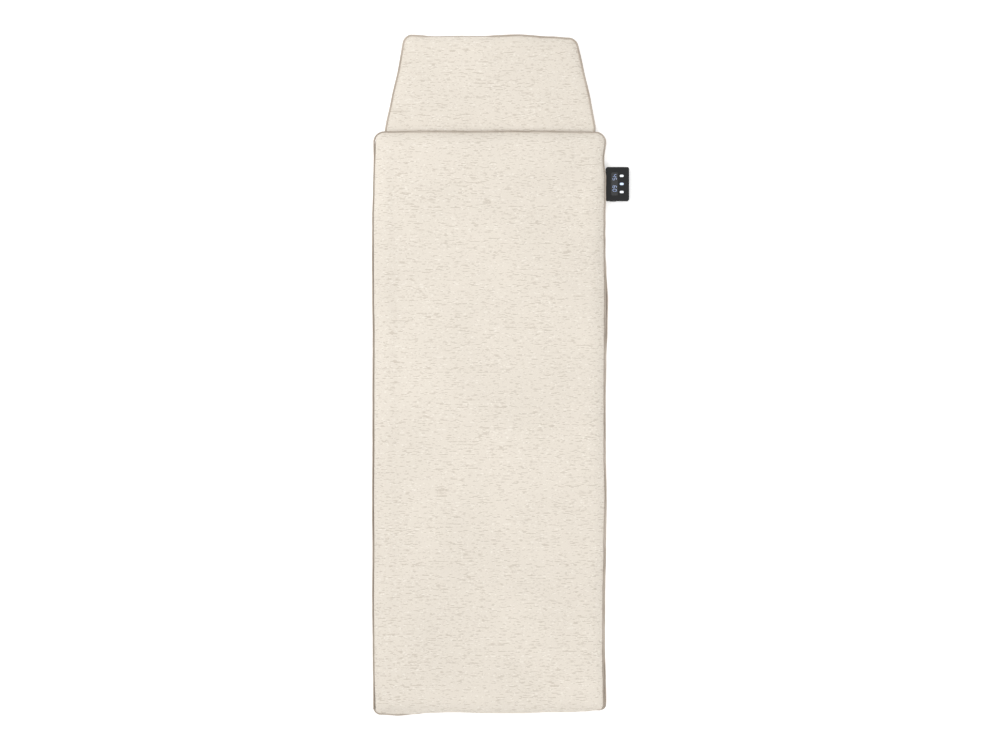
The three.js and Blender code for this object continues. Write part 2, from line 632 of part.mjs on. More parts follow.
// ---- Dock, fixed in the base's right edge ----
function dock(group) {
  const bodyEnd = WALL_X - OUTER_FABRIC - GAP;
  const cavityY = [CONTROLLER_Y - CAVITY_HALF_WIDTH, CONTROLLER_Y + CAVITY_HALF_WIDTH];
  const cavity = (from, to) => box([from, to], cavityY, [CAVITY_LOW, CAVITY_HIGH]);
  piece(
    group,
    "dock_housing",
    cut(
      box([DOCK_BACK_X, bodyEnd], [dockY(-1), dockY(1)], [DOCK_LOW, DOCK_HIGH]),
      cavity(DOCK_BACK_X + DOCK_BACK_WALL, bodyEnd + 1),
    ),
    MATERIALS.casing,
  );

  const carrierFrom = DOCK_BACK_X + DOCK_BACK_WALL + GAP;
  const carrierTo = carrierFrom + CONTACT_CARRIER_LENGTH - GAP;
  const carrier = box(
    [carrierFrom, carrierTo],
    [CONTROLLER_Y - PLUG_WIDTH / 2, CONTROLLER_Y + PLUG_WIDTH / 2],
    [CAVITY_LOW + GAP, CAVITY_HIGH - GAP],
  );
  const pins = contactRows().map((y) =>
    alongX(CONTROLLER_Y + y, PLUG_CENTRE_HEIGHT, CONTACT_RADIUS, carrierTo - 1, carrierTo + CONTACT_LENGTH),
  );
  piece(group, "dock_contact_strip", join(carrier, ...pins), MATERIALS.contact);

  const bezelX = [WALL_X + GAP, WALL_X + GAP + BEZEL_THICKNESS];
  const bezelY = [cavityY[0] - BEZEL_BORDER, cavityY[1] + BEZEL_BORDER];
  const bezelPlate = box(bezelX, bezelY, [CAVITY_LOW - DOCK_WALL, CAVITY_HIGH + DOCK_WALL]);
  piece(group, "dock_bezel", cut(bezelPlate, cavity(bezelX[0] - 1, bezelX[1] + 1)), MATERIALS.casing);
}

const contactRows = () =>
  Array.from({ length: CONTACT_COUNT }, (_, i) => (i - (CONTACT_COUNT - 1) / 2) * CONTACT_SPACING);

// ---- Controller, in a frame at the middle of its underside ----
const HALF_CASE = [CONTROLLER_WIDTH / 2, CONTROLLER_LENGTH / 2];
const ROOF_LOW = CONTROLLER_HEIGHT - SHELL_ROOF;
const BOARD_TOP = BOARD_HEIGHT + BOARD_THICKNESS;
const WINDOW_LOW = CONTROLLER_HEIGHT - WINDOW_THICKNESS;
const INLET_Z = (SHELL_WALL + ROOF_LOW) / 2;
const PARTING_HEIGHT = INLET_Z + GAP / 2; // of the seam between the two shells
const buttonRows = { power_button: BUTTON_SPACING, temperature_button: 0, timer_button: -BUTTON_SPACING };
const bossPlaces = [-1, 1].flatMap((sx) =>
  [-1, 1].map((sy) => [sx * (HALF_CASE[0] - BOSS_INSET), sy * (HALF_CASE[1] - BOSS_INSET)]),
);
const caseOutline = centredRectangle(0, 0, CONTROLLER_WIDTH, CONTROLLER_LENGTH, CONTROLLER_CORNER_RADIUS);
const caseInside = offset(caseOutline, -SHELL_WALL);

// The coupling plug: a tongue outside the case, and a flange that the case's wall holds.
const plugHalf = (extra = 0) => [
  [-PLUG_WIDTH / 2 - extra, PLUG_WIDTH / 2 + extra],
  [PLUG_HEIGHT_IN_CASE - PLUG_HEIGHT / 2 - extra, PLUG_HEIGHT_IN_CASE + PLUG_HEIGHT / 2 + extra],
];
const tongue = (from, to, extra) => box([from, to], ...plugHalf(extra));

const inletOutline = (extra) => {
  const height = INLET_HEIGHT + 2 * extra;
  return centredRectangle(INLET_X, INLET_Z, INLET_WIDTH + 2 * extra, height, roundEnd(height));
};
// A prism of an outline in X and Z, between two places along Y.
const alongWall = (outline, from, to) =>
  slab(outline, -to, -from).rotateX(Math.PI / 2);

function casingOpenings() {
  const wallX = -HALF_CASE[0];
  const wallY = -HALF_CASE[1];
  return [
    tongue(wallX - 1, wallX + SHELL_WALL + 1, GAP),
    alongWall(inletOutline(INLET_WALL + GAP), wallY - 1, wallY + SHELL_WALL + 1),
  ];
}

function controllerShells(group) {
  const low = cut(
    slab(caseOutline, 0, PARTING_HEIGHT - GAP),
    slab(caseInside, SHELL_WALL, PARTING_HEIGHT),
  );
  const bosses = (from, to) => bossPlaces.map(([x, y]) => upright(x, y, BOSS_RADIUS, from, to));
  const screwHoles = bossPlaces.flatMap(([x, y]) => [
    upright(x, y, SCREW_RADIUS + SCREW_CLEARANCE, -1, CONTROLLER_HEIGHT - SHELL_ROOF),
    upright(x, y, SCREW_HEAD_RADIUS + SCREW_CLEARANCE, -1, SCREW_HEAD_HEIGHT + 2 * GAP),
  ]);
  piece(
    group,
    "controller_bottom_shell",
    cut(join(low, ...bosses(SHELL_WALL / 2, BOARD_HEIGHT - GAP)), ...screwHoles, ...casingOpenings()),
    MATERIALS.casing,
  );

  const high = cut(
    slab(caseOutline, PARTING_HEIGHT, CONTROLLER_HEIGHT),
    slab(caseInside, PARTING_HEIGHT - 1, ROOF_LOW),
  );
  const [windowWidth, windowLength] = WINDOW_SIZE;
  const windowSeat = centredRectangle(
    WINDOW_X,
    0,
    windowWidth + 2 * GAP,
    windowLength + 2 * GAP,
    WINDOW_CORNER_RADIUS + GAP,
  );
  const roofOpenings = [
    slab(windowSeat, WINDOW_LOW - GAP, CONTROLLER_HEIGHT + 1),
    slab(offset(windowSeat, -WINDOW_LEDGE), ROOF_LOW - 1, CONTROLLER_HEIGHT + 1),
    ...Object.values(buttonRows).map((y) =>
      slab(buttonOutline(y, GAP), ROOF_LOW - 1, CONTROLLER_HEIGHT + 1),
    ),
  ];
  const hollowed = join(high, ...bosses(BOARD_TOP + GAP, CONTROLLER_HEIGHT - SHELL_ROOF / 2));
  piece(
    group,
    "controller_top_shell",
    cut(hollowed, ...screwHoles, ...roofOpenings, ...casingOpenings()),
    MATERIALS.casing,
  );
}

const buttonOutline = (y, extra) => {
  const height = BUTTON_SIZE[1] + 2 * extra;
  return centredRectangle(BUTTON_X, y, BUTTON_SIZE[0] + 2 * extra, height, roundEnd(height));
};

const FLANGE_TOP = ROOF_LOW - GAP;
const FLANGE_LOW = FLANGE_TOP - BUTTON_FLANGE_HEIGHT;
const DOME_TOP = FLANGE_LOW - BUTTON_TRAVEL - GAP;

function controllerInside(group) {
  const boardOutline = offset(caseInside, -BOARD_MARGIN);
  const boardHoles = bossPlaces.map(([x, y]) =>
    upright(x, y, SCREW_RADIUS + SCREW_CLEARANCE, BOARD_HEIGHT - 1, BOARD_TOP + 1),
  );
  const flangeInside = -HALF_CASE[0] + SHELL_WALL + GAP + PLUG_FLANGE_LENGTH + GAP;
  const plugRelief = box(
    [-HALF_CASE[0], flangeInside],
    [-PLUG_WIDTH / 2 - PLUG_FLANGE - GAP, PLUG_WIDTH / 2 + PLUG_FLANGE + GAP],
    [BOARD_HEIGHT - 1, BOARD_TOP + 1],
  );
  const inletRelief = box(
    [INLET_X - INLET_WIDTH / 2 - INLET_WALL - GAP, INLET_X + INLET_WIDTH / 2 + INLET_WALL + GAP],
    [-HALF_CASE[1], -HALF_CASE[1] + INLET_DEPTH + INLET_WALL + GAP],
    [BOARD_HEIGHT - 1, BOARD_TOP + 1],
  );
  piece(
    group,
    "controller_circuit_board",
    cut(slab(boardOutline, BOARD_HEIGHT, BOARD_TOP), ...boardHoles, plugRelief, inletRelief),
    MATERIALS.board,
  );

  const onBoard = BOARD_TOP + GAP;
  const underBoard = BOARD_HEIGHT - GAP;
  const domes = Object.values(buttonRows).map((y) => upright(BUTTON_X, y, DOME_RADIUS, onBoard, DOME_TOP));
  const sheet = centredRectangle(
    BUTTON_X,
    0,
    BUTTON_SIZE[0] + KEYPAD_MARGIN,
    2 * BUTTON_SPACING + BUTTON_SIZE[1] + KEYPAD_MARGIN,
    1,
  );
  piece(
    group,
    "keypad_membrane",
    join(slab(sheet, onBoard, onBoard + KEYPAD_SHEET), ...domes),
    MATERIALS.silicone,
  );
  const block = (name, [width, length, height], [x, y], low) =>
    piece(group, name, slab(centredRectangle(x, y, width, length), low, low + height), MATERIALS.component);
  block("display_module", [...DISPLAY_SIZE, WINDOW_LOW - GAP - onBoard], [WINDOW_X, 0], onBoard);
  block("power_relay", RELAY_SIZE, RELAY_PLACE, underBoard - RELAY_SIZE[2]);
  block("control_chip", CHIP_SIZE, CHIP_PLACE, onBoard);
  const [fuseX, fuseY] = MAINS_FUSE_PLACE;
  const fuseEnds = [fuseY - MAINS_FUSE_LENGTH / 2, fuseY + MAINS_FUSE_LENGTH / 2];
  piece(
    group,
    "mains_fuse",
    alongY(fuseX, underBoard - MAINS_FUSE_RADIUS, MAINS_FUSE_RADIUS, ...fuseEnds),
    MATERIALS.steel,
  );
}

function controllerFront(group) {
  piece(
    group,
    "controller_window",
    slab(
      centredRectangle(WINDOW_X, 0, ...WINDOW_SIZE, WINDOW_CORNER_RADIUS),
      WINDOW_LOW,
      CONTROLLER_HEIGHT,
    ),
    MATERIALS.window,
  );
  for (const [name, y] of Object.entries(buttonRows)) {
    piece(
      group,
      name,
      join(
        slab(buttonOutline(y, BUTTON_FLANGE), FLANGE_LOW, FLANGE_TOP),
        slab(buttonOutline(y, 0), FLANGE_TOP - GAP, CONTROLLER_HEIGHT + BUTTON_PROUD),
      ),
      MATERIALS.key,
    );
  }
}

function couplingPlug(group) {
  const wall = -HALF_CASE[0];
  const flangeFrom = wall + SHELL_WALL + GAP;
  const flange = tongue(flangeFrom, flangeFrom + PLUG_FLANGE_LENGTH, PLUG_FLANGE);
  const bores = contactRows().map((y) =>
    alongX(
      y,
      PLUG_HEIGHT_IN_CASE,
      CONTACT_RADIUS + CONTACT_CLEARANCE,
      wall - PLUG_LENGTH - 1,
      wall - PLUG_LENGTH + CONTACT_LENGTH + 1,
    ),
  );
  piece(
    group,
    "coupling_plug",
    cut(join(tongue(wall - PLUG_LENGTH, flangeFrom + 1, 0), flange), ...bores),
    MATERIALS.casing,
  );
}

function mainsInlet(group) {
  const face = -HALF_CASE[1] - INLET_RIM;
  const back = -HALF_CASE[1] + INLET_DEPTH + INLET_WALL;
  const body = join(
    alongWall(inletOutline(INLET_WALL), face + INLET_RIM / 2, back),
    alongWall(inletOutline(INLET_WALL + 2 * GAP), face, face + INLET_RIM - GAP),
  );
  const floor = back - INLET_WALL;
  const pinX = [-1, 1].map((side) => INLET_X + (side * INLET_PIN_SPACING) / 2);
  const pinHoles = pinX.map((x) => alongY(x, INLET_Z, INLET_PIN_RADIUS + GAP, floor - 1, back + 1));
  piece(
    group,
    "mains_inlet",
    cut(body, alongWall(inletOutline(0), face - 1, floor), ...pinHoles),
    MATERIALS.casing,
  );
  ["left", "right"].forEach((side, i) =>
    piece(
      group,
      "inlet_pin_" + side,
      alongY(pinX[i], INLET_Z, INLET_PIN_RADIUS, floor - INLET_PIN_LENGTH, back),
      MATERIALS.steel,
    ),
  );
}

function controllerScrews(group) {
  const headLow = GAP;
  const profile = [
    [0, headLow],
    [SCREW_HEAD_RADIUS, headLow],
    [SCREW_HEAD_RADIUS, headLow + SCREW_HEAD_HEIGHT],
    [SCREW_RADIUS, headLow + SCREW_HEAD_HEIGHT],
    [SCREW_RADIUS, ROOF_LOW - SCREW_END_GAP],
    [0, ROOF_LOW - SCREW_END_GAP],
  ].map(([r, z]) => new THREE.Vector2(r, z));
  bossPlaces.forEach(([x, y], i) =>
    piece(
      group,
      "controller_screw_" + (i + 1),
      new THREE.LatheGeometry(profile, ROUND_SIDES).rotateX(Math.PI / 2).translate(x, y, 0),
      MATERIALS.steel,
    ),
  );
}

const blanket = new THREE.Group();
basePanel(blanket);
coverPanel(blanket);
headrest(blanket);
dock(blanket);

const controller = new THREE.Group();
controller.position.set(CONTROLLER_X, CONTROLLER_Y, CONTROLLER_LIFT);
blanket.add(controller);
controllerShells(controller);
controllerInside(controller);
controllerFront(controller);
couplingPlug(controller);
mainsInlet(controller);
controllerScrews(controller);

export default blanket;
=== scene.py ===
"""Infrared sauna blanket: a padded mat with a headrest, a padded cover that opens about its left seam, and a plug-in
controller. Metres, +Z up, +Y towards the head, +X towards the controller."""

import json
import math

import bpy
import bmesh
import numpy as np
from mathutils import Matrix, Vector
from mathutils.bvhtree import BVHTree

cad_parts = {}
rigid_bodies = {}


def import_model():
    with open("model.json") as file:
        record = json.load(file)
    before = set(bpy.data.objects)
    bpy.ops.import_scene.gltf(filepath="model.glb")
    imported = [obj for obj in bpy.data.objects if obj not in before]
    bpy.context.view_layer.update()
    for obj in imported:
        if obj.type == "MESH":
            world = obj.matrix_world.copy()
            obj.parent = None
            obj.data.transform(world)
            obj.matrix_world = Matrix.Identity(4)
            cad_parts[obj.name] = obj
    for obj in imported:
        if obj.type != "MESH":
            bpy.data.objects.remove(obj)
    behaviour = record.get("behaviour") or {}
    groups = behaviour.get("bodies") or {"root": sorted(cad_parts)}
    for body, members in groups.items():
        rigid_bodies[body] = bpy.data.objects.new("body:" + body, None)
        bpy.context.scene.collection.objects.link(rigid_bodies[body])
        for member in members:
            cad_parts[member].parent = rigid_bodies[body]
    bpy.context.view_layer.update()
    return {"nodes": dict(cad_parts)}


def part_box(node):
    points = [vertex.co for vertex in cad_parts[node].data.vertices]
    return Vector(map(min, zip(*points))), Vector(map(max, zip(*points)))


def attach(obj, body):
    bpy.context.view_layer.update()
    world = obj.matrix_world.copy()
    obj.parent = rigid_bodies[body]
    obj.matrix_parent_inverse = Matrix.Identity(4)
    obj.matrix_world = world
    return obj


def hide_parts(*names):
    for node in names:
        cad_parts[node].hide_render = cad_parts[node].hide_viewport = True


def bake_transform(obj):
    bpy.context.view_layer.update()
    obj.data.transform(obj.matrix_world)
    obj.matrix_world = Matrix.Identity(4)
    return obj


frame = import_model()
nodes = frame["nodes"]
scene = bpy.context.scene
MM = 0.001

# ---------------------------------------------------------------- places taken from the frame
MAT_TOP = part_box("base_outer_fabric")[1].z
COVER_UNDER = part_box("cover_outer_fabric")[0].z
COVER_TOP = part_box("cover_outer_fabric")[1].z
SEAM_LOW, SEAM_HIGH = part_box("side_seam_piping")
HINGE_X = (SEAM_LOW.x + SEAM_HIGH.x) / 2
HINGE_Z = (SEAM_LOW.z + SEAM_HIGH.z) / 2
HALF_WIDTH = 0.360
FOOT_Y = -0.900
MOUTH_Y = 0.900
HEAD_Y = 1.200
FOLD_Y = (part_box("base_outer_fabric")[1].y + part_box("headrest_top_fabric")[0].y) / 2
CORD_RADIUS = 2.75 * MM
CORD_INSET = 2.65 * MM

# seeds of the smooth waves that the two sewn outlines follow
COVER_WAVE = 3
MAT_WAVE = 7
MOUTH_WAVE = 19

# how the cushions are rounded: the widths over which the cloth rises from its seam
COVER_ROUNDING = 38 * MM
MAT_TOP_ROUNDING = 22 * MM
MAT_UNDER_ROUNDING = 24 * MM
HEADREST_ROUNDING = 30 * MM
COVER_SWELL_LIMIT = 7 * MM
HEADREST_SWELL_LIMIT = 5 * MM
COVER_TUCK = 4.5 * MM
HEADREST_TUCK = 3.5 * MM

# sockets of the colour mix node, which have no names of their own
MIX_FACTOR, MIX_A, MIX_B, MIX_RESULT = 0, 6, 7, 2

# ---------------------------------------------------------------- outlines
MAT_CORNERS = [
    (-HALF_WIDTH, FOOT_Y, 0.020),
    (HALF_WIDTH, FOOT_Y, 0.020),
    (HALF_WIDTH, 0.862, 0.040),
    (0.326, 0.892, 0.024),
    (0.2705, HEAD_Y, 0.030),
    (-0.2705, HEAD_Y, 0.030),
    (-0.326, 0.892, 0.024),
    (-HALF_WIDTH, 0.862, 0.040),
]
COVER_CORNERS = [
    (-HALF_WIDTH, FOOT_Y, 0.022),
    (HALF_WIDTH, FOOT_Y, 0.020),
    (HALF_WIDTH, MOUTH_Y, 0.030),
    (-HALF_WIDTH, MOUTH_Y, 0.033),
]


def unit(value):
    """The value kept between 0 and 1."""
    return np.clip(value, 0, 1)


def smooth(t):
    """From 0 to 1 with a level start and end."""
    return t * t * (3 - 2 * t)


def resample(points, step):
    """The closed polyline again, with points a step apart."""
    loop = np.vstack([points, points[:1]])
    along = np.concatenate([[0], np.cumsum(np.linalg.norm(np.diff(loop, axis=0), axis=1))])
    count = max(8, int(round(along[-1] / step)))
    at = np.linspace(0, along[-1], count, endpoint=False)
    return np.column_stack([np.interp(at, along, loop[:, k]) for k in range(2)])


def rounded(corners, inward=0.0, step=4 * MM):
    """The anticlockwise closed outline through corners (x, y, radius), moved inwards and then rounded."""
    count = len(corners)
    places = [np.array(corner[:2], float) for corner in corners]
    ways = [places[(i + 1) % count] - places[i] for i in range(count)]
    ways = [way / np.linalg.norm(way) for way in ways]
    points = []
    for i, corner in enumerate(corners):
        into, out = ways[i - 1], ways[i]
        left_of_into, left_of_out = np.array([-into[1], into[0]]), np.array([-out[1], out[0]])
        here = places[i] + inward * (left_of_into + left_of_out) / (1 + left_of_into @ left_of_out)
        turn = math.atan2(into[0] * out[1] - into[1] * out[0], into @ out)
        side = math.copysign(1, turn)
        radius = max(corner[2] - inward * side, 2 * MM)
        start = here - into * radius * math.tan(abs(turn) / 2)
        centre = start + side * radius * left_of_into
        first = math.atan2(start[1] - centre[1], start[0] - centre[0])
        for angle in np.linspace(first, first + turn, 13):
            points.append(centre + radius * np.array([math.cos(angle), math.sin(angle)]))
    return resample(np.array(points), step)


def normals_out(outline):
    """Unit normals of an anticlockwise outline, pointing outwards."""
    along = np.roll(outline, -1, axis=0) - np.roll(outline, 1, axis=0)
    along /= np.linalg.norm(along, axis=1)[:, None]
    return np.column_stack([along[:, 1], -along[:, 0]])


def edge_distance(points, outline):
    """How far inside the outline each point lies."""
    found = np.full(len(points), 1e9)
    ends = np.roll(outline, -1, axis=0)
    for a, b in zip(outline, ends):
        ab = b - a
        if ab @ ab < 1e-14:
            continue
        t = unit(((points - a) @ ab) / (ab @ ab))
        found = np.minimum(found, np.linalg.norm(points - (a + t[:, None] * ab), axis=1))
    return found


def eased(x, knots):
    """A smooth line through given knots (place, value)."""
    places, values = np.array(sorted(knots), float).T
    x = np.clip(x, places[0], places[-1])
    i = np.clip(np.searchsorted(places, x) - 1, 0, len(places) - 2)
    t = (x - places[i]) / (places[i + 1] - places[i])
    t = smooth(t)
    return values[i] * (1 - t) + values[i + 1] * t


def wander(x, seed, scale):
    """A seeded smooth wave of about unit height, with features of the given size."""
    rng = np.random.default_rng(seed)
    total = np.zeros_like(np.asarray(x, float))
    for k in range(6):
        total += rng.normal() * np.sin(np.asarray(x) * (math.tau / scale) * (0.5 + 0.4 * k) + rng.uniform(0, 6.3))
    return total / 2.4


# ---------------------------------------------------------------- how the sewn edges stray from the pattern
# Each knot is a place along the edge in metres and a distance in millimetres: to the right, to the left at the left
# edges, and towards the head at the foot, mouth and head.
COVER_RIGHT_EDGE = [(-0.90, -4.0), (-0.82, -4.5), (-0.70, -6.0), (-0.55, -5.0), (-0.39, -2.0), (-0.24, 1.5),
                    (-0.08, -1.0), (0.07, -1.0), (0.29, 0.0), (0.38, 1.0), (0.50, -0.5), (0.63, -1.0), (0.70, 0.5),
                    (0.755, 1.5), (0.816, -5.0), (0.863, 1.0), (0.90, -1.5)]
MAT_RIGHT_EDGE = [(-0.90, 0.5), (-0.86, 2.0), (-0.80, 0.5), (-0.70, -2.5), (-0.55, -2.0), (-0.39, 1.0), (-0.24, 3.0),
                  (-0.08, 0.5), (0.07, 0.0), (0.20, 2.0), (0.29, 6.0), (0.38, 7.5), (0.46, 2.5), (0.55, -2.0),
                  (0.70, -3.5), (0.816, -6.5), (0.90, -1.0)]
LEFT_EDGE = [(-0.90, 0.3), (-0.82, 0.6), (-0.70, 1.8), (-0.55, 3.8), (-0.39, 2.9), (-0.24, 4.2), (-0.08, 2.9),
             (0.07, 3.0), (0.29, 2.2), (0.38, 4.0), (0.50, 4.2), (0.63, 4.0), (0.72, 0.9), (0.816, -1.0), (0.86, 0.0),
             (0.90, 0.0)]
HEADREST_RIGHT = [(0.88, 0.0), (0.92, 8.0), (1.00, 7.5), (1.10, 3.0), (1.20, 0.0)]
HEADREST_LEFT = [(0.88, 0.0), (0.92, 1.5), (1.00, -1.5), (1.10, -6.0), (1.20, -5.0)]
FOOT_EDGE = [(-0.36, -4.5), (-0.33, -5.5), (-0.28, -8.5), (-0.246, -7.8), (-0.184, -3.2), (-0.12, -1.4), (0.0, -4.3),
             (0.10, -4.6), (0.18, -1.2), (0.25, -0.2), (0.29, 2.4), (0.33, 5.5), (0.36, 5.0)]
MOUTH_EDGE = [(-0.36, 1.0), (-0.30, 1.0), (-0.20, 3.0), (-0.05, 2.0), (0.05, 3.5), (0.16, 3.0), (0.25, 1.5),
              (0.33, 0.0), (0.36, 0.0)]
HEAD_EDGE = [(-0.27, 1.0), (-0.25, 2.0), (-0.18, -0.3), (-0.09, 1.0), (0.0, 0.5), (0.09, 4.0), (0.19, -3.5),
             (0.25, -7.5), (0.27, -9.0)]


def felt(along, start, reach):
    """How much an edge's straying is felt: not at all up to start, fully a reach beyond it."""
    return unit((along - start) / reach) ** 2


def stray(points, of_cover):
    """Moves plan points as the sewing does: the sides in and out, the foot up and down, the mouth and the head."""
    right_edge, seed = (COVER_RIGHT_EDGE, COVER_WAVE) if of_cover else (MAT_RIGHT_EDGE, MAT_WAVE)
    x, y = points[:, 0].copy(), points[:, 1].copy()
    moved_x = x + felt(x, 0.20, 0.16) * (eased(y, right_edge) + 0.35 * wander(y, seed, 0.11)) * MM
    moved_x -= felt(-x, 0.26, 0.10) * eased(y, LEFT_EDGE) * MM
    moved_y = y + felt(-y, 0.60, 0.30) * eased(x, FOOT_EDGE) * MM
    if of_cover:
        moved_y += felt(y, 0.80, 0.10) * (eased(x, MOUTH_EDGE) + 0.4 * wander(x, MOUTH_WAVE, 0.14)) * MM
    else:
        moved_x += (felt(x, 0.12, 0.14) * eased(y, HEADREST_RIGHT)
                    - felt(-x, 0.12, 0.14) * eased(y, HEADREST_LEFT)) * MM
        moved_y += felt(y, 1.0, 0.20) * eased(x, HEAD_EDGE) * MM
    return np.column_stack([moved_x, moved_y])


# ---------------------------------------------------------------- meshes
def link(name, mesh):
    """An object in the scene that shows the mesh."""
    piece = bpy.data.objects.new(name, mesh)
    scene.collection.objects.link(piece)
    return piece


def mesh_from(name, vertices, faces, smooth=True):
    """An object made from points and faces."""
    mesh = bpy.data.meshes.new(name)
    mesh.from_pydata([tuple(v) for v in vertices], [], [tuple(int(i) for i in f) for f in faces])
    mesh.update()
    if smooth:
        mesh.shade_smooth()
    return link(name, mesh)


def mesh_of(bm, name):
    """A mesh with what the bmesh holds; the bmesh is freed."""
    mesh = bpy.data.meshes.new(name)
    bm.to_mesh(mesh)
    bm.free()
    return mesh


def discard(piece):
    """Removes a helper object, and its mesh when nothing else uses it."""
    old = piece.data
    bpy.data.objects.remove(piece)
    if old.users == 0:
        bpy.data.meshes.remove(old)


def turn_outward(piece, weld=0.0):
    """Turns all faces outwards, with points nearer than weld merged first."""
    bm = bmesh.new()
    bm.from_mesh(piece.data)
    if weld:
        bmesh.ops.remove_doubles(bm, verts=bm.verts, dist=weld)
    bmesh.ops.recalc_face_normals(bm, faces=bm.faces)
    bm.to_mesh(piece.data)
    bm.free()


def row_places(low, high, end_low, end_high, step):
    """Row positions between two ends, closer together over the rounded end stretches."""
    bend = 1 - np.cos(np.linspace(0, math.pi / 2, 8))
    middle = np.linspace(low + end_low, high - end_high, int(round((high - low - end_low - end_high) / step)) + 1)
    return np.concatenate([low + bend[:-1] * end_low, middle, (high - bend[:-1] * end_high)[::-1]])


def column_places(first=3.5 * MM, growth=1.22, widest=14 * MM, half=HALF_WIDTH):
    """Column positions from -1 to 1, closer together near the edges."""
    steps, reach = [], 0
    while reach < half:
        steps.append(min(widest, first * growth ** len(steps)))
        reach += steps[-1]
    side = np.concatenate([[0], np.cumsum(steps)]) / reach
    return np.concatenate([side - 1, (1 - side)[::-1][1:]])


def sides_at(outline, rows):
    """The outline's leftmost and rightmost x at each row."""
    ends = np.roll(outline, -1, axis=0)
    low, high = outline[:, 1].min(), outline[:, 1].max()
    rows = np.clip(rows, low + 1e-6, high - 1e-6)
    left, right = [], []
    for y in rows:
        crossing = (outline[:, 1] - y) * (ends[:, 1] - y) <= 0
        crossing &= np.abs(ends[:, 1] - outline[:, 1]) > 1e-12
        a, b = outline[crossing], ends[crossing]
        x = a[:, 0] + (y - a[:, 1]) / (b[:, 1] - a[:, 1]) * (b[:, 0] - a[:, 0])
        left.append(x.min())
        right.append(x.max())
    return np.array(left), np.array(right)


def plan_grid(outline, rows, columns):
    """Plan points of a grid that fills the outline: rows by columns by 2."""
    left, right = sides_at(outline, rows)
    middle, half = (left + right) / 2, (right - left) / 2
    x = middle[:, None] + columns[None, :] * half[:, None]
    return np.dstack([x, np.repeat(rows[:, None], len(columns), axis=1)])


def closed_pad(name, upper, lower):
    """A closed form of two grids of points that share their border."""
    rows, columns = upper.shape[:2]
    top = np.arange(rows * columns).reshape(rows, columns)
    inner = np.zeros((rows, columns), bool)
    inner[1:-1, 1:-1] = True
    bottom = top.copy()
    bottom[inner] = rows * columns + np.arange(inner.sum())
    vertices = np.vstack([upper.reshape(-1, 3), lower[inner]])

    def quads(index, flip):
        """The four corners of every cell of the grid."""
        a, b, c, d = index[:-1, :-1], index[:-1, 1:], index[1:, 1:], index[1:, :-1]
        order = (d, c, b, a) if flip else (a, b, c, d)
        return np.dstack(order).reshape(-1, 4)

    faces = np.vstack([quads(top, False), quads(bottom, True)])
    return mesh_from(name, vertices, faces)


def add_cloth_map(piece, outline, drop_of):
    """A UV map named cloth, in metres: plan coordinates, run out over the turned-down edges."""
    mesh = piece.data
    points = np.array([v.co for v in mesh.vertices])
    distance = np.zeros(len(points))
    nearest = np.zeros(len(points), int)
    for first in range(0, len(points), 4000):
        block = points[first:first + 4000, None, :2] - outline[None, :, :]
        squared = (block ** 2).sum(axis=2)
        nearest[first:first + 4000] = squared.argmin(axis=1)
        distance[first:first + 4000] = np.sqrt(squared.min(axis=1))
    outward = normals_out(outline)[nearest]
    flat = points[:, :2] + outward * drop_of(distance)[:, None]
    layer = mesh.uv_layers.new(name="cloth")
    corner_vertex = np.zeros(len(mesh.loops), int)
    mesh.loops.foreach_get("vertex_index", corner_vertex)
    layer.data.foreach_set("uv", flat[corner_vertex].astype(np.float32).ravel())


def bulge(distance, width):
    """From 0 at the edge to 1 at the given width inside it, round like the side of a cushion."""
    t = unit(1 - distance / width)
    return np.sqrt(unit(1 - t ** 2.2))


def settle_cloth(points, held, slack, pressure, frames):
    """Lets a sheet of cloth held at its border swell over its filling. points is rows by columns by 3."""
    rows, columns = points.shape[:2]
    index = np.arange(rows * columns).reshape(rows, columns)
    faces = np.dstack([index[:-1, :-1], index[:-1, 1:], index[1:, 1:], index[1:, :-1]]).reshape(-1, 4)
    sheet = mesh_from("settling_cloth", points.reshape(-1, 3), faces)
    for group_name, weights in (("held", held), ("slack", slack)):
        group = sheet.vertex_groups.new(name=group_name)
        weights = np.round(weights.ravel(), 2)
        for weight in np.unique(weights):
            group.add([int(i) for i in np.nonzero(weights == weight)[0]], float(weight), "REPLACE")
    cloth = sheet.modifiers.new("cloth", "CLOTH")
    settings = cloth.settings
    settings.quality = 5
    settings.mass = 0.25
    settings.tension_stiffness = settings.compression_stiffness = 18
    settings.shear_stiffness = 6
    settings.bending_stiffness = 0.6
    settings.air_damping = 4
    settings.vertex_group_mass = "held"
    settings.pin_stiffness = 0.6
    settings.shrink_min = 0.0
    settings.shrink_max = -0.045
    settings.vertex_group_shrink = "slack"
    settings.use_pressure = True
    settings.uniform_pressure_force = pressure
    settings.effector_weights.gravity = 0
    cloth.collision_settings.use_collision = False
    cloth.point_cache.frame_start = 1
    cloth.point_cache.frame_end = frames
    for number in range(1, frames + 1):
        scene.frame_set(number)
    finished = sheet.evaluated_get(bpy.context.evaluated_depsgraph_get())
    found = np.zeros(rows * columns * 3)
    finished.data.vertices.foreach_get("co", found)
    discard(sheet)
    scene.frame_set(1)
    return found.reshape(rows, columns, 3)


def swelling(points, held, slack, pressure, frames, limit):
    """How far each point moves as the cloth swells over its filling, never farther than the limit."""
    shift = settle_cloth(points, held, slack, pressure, frames) - points
    length = np.linalg.norm(shift, axis=2, keepdims=True)
    return shift * np.minimum(1, limit / np.maximum(length, 1e-9))


def hold(edge, reach):
    """How firmly each point is held: fully at the seam, and a little by the filling away from it."""
    return np.where(edge < 1e-4, 1.0, unit(edge / reach) * 0.35)


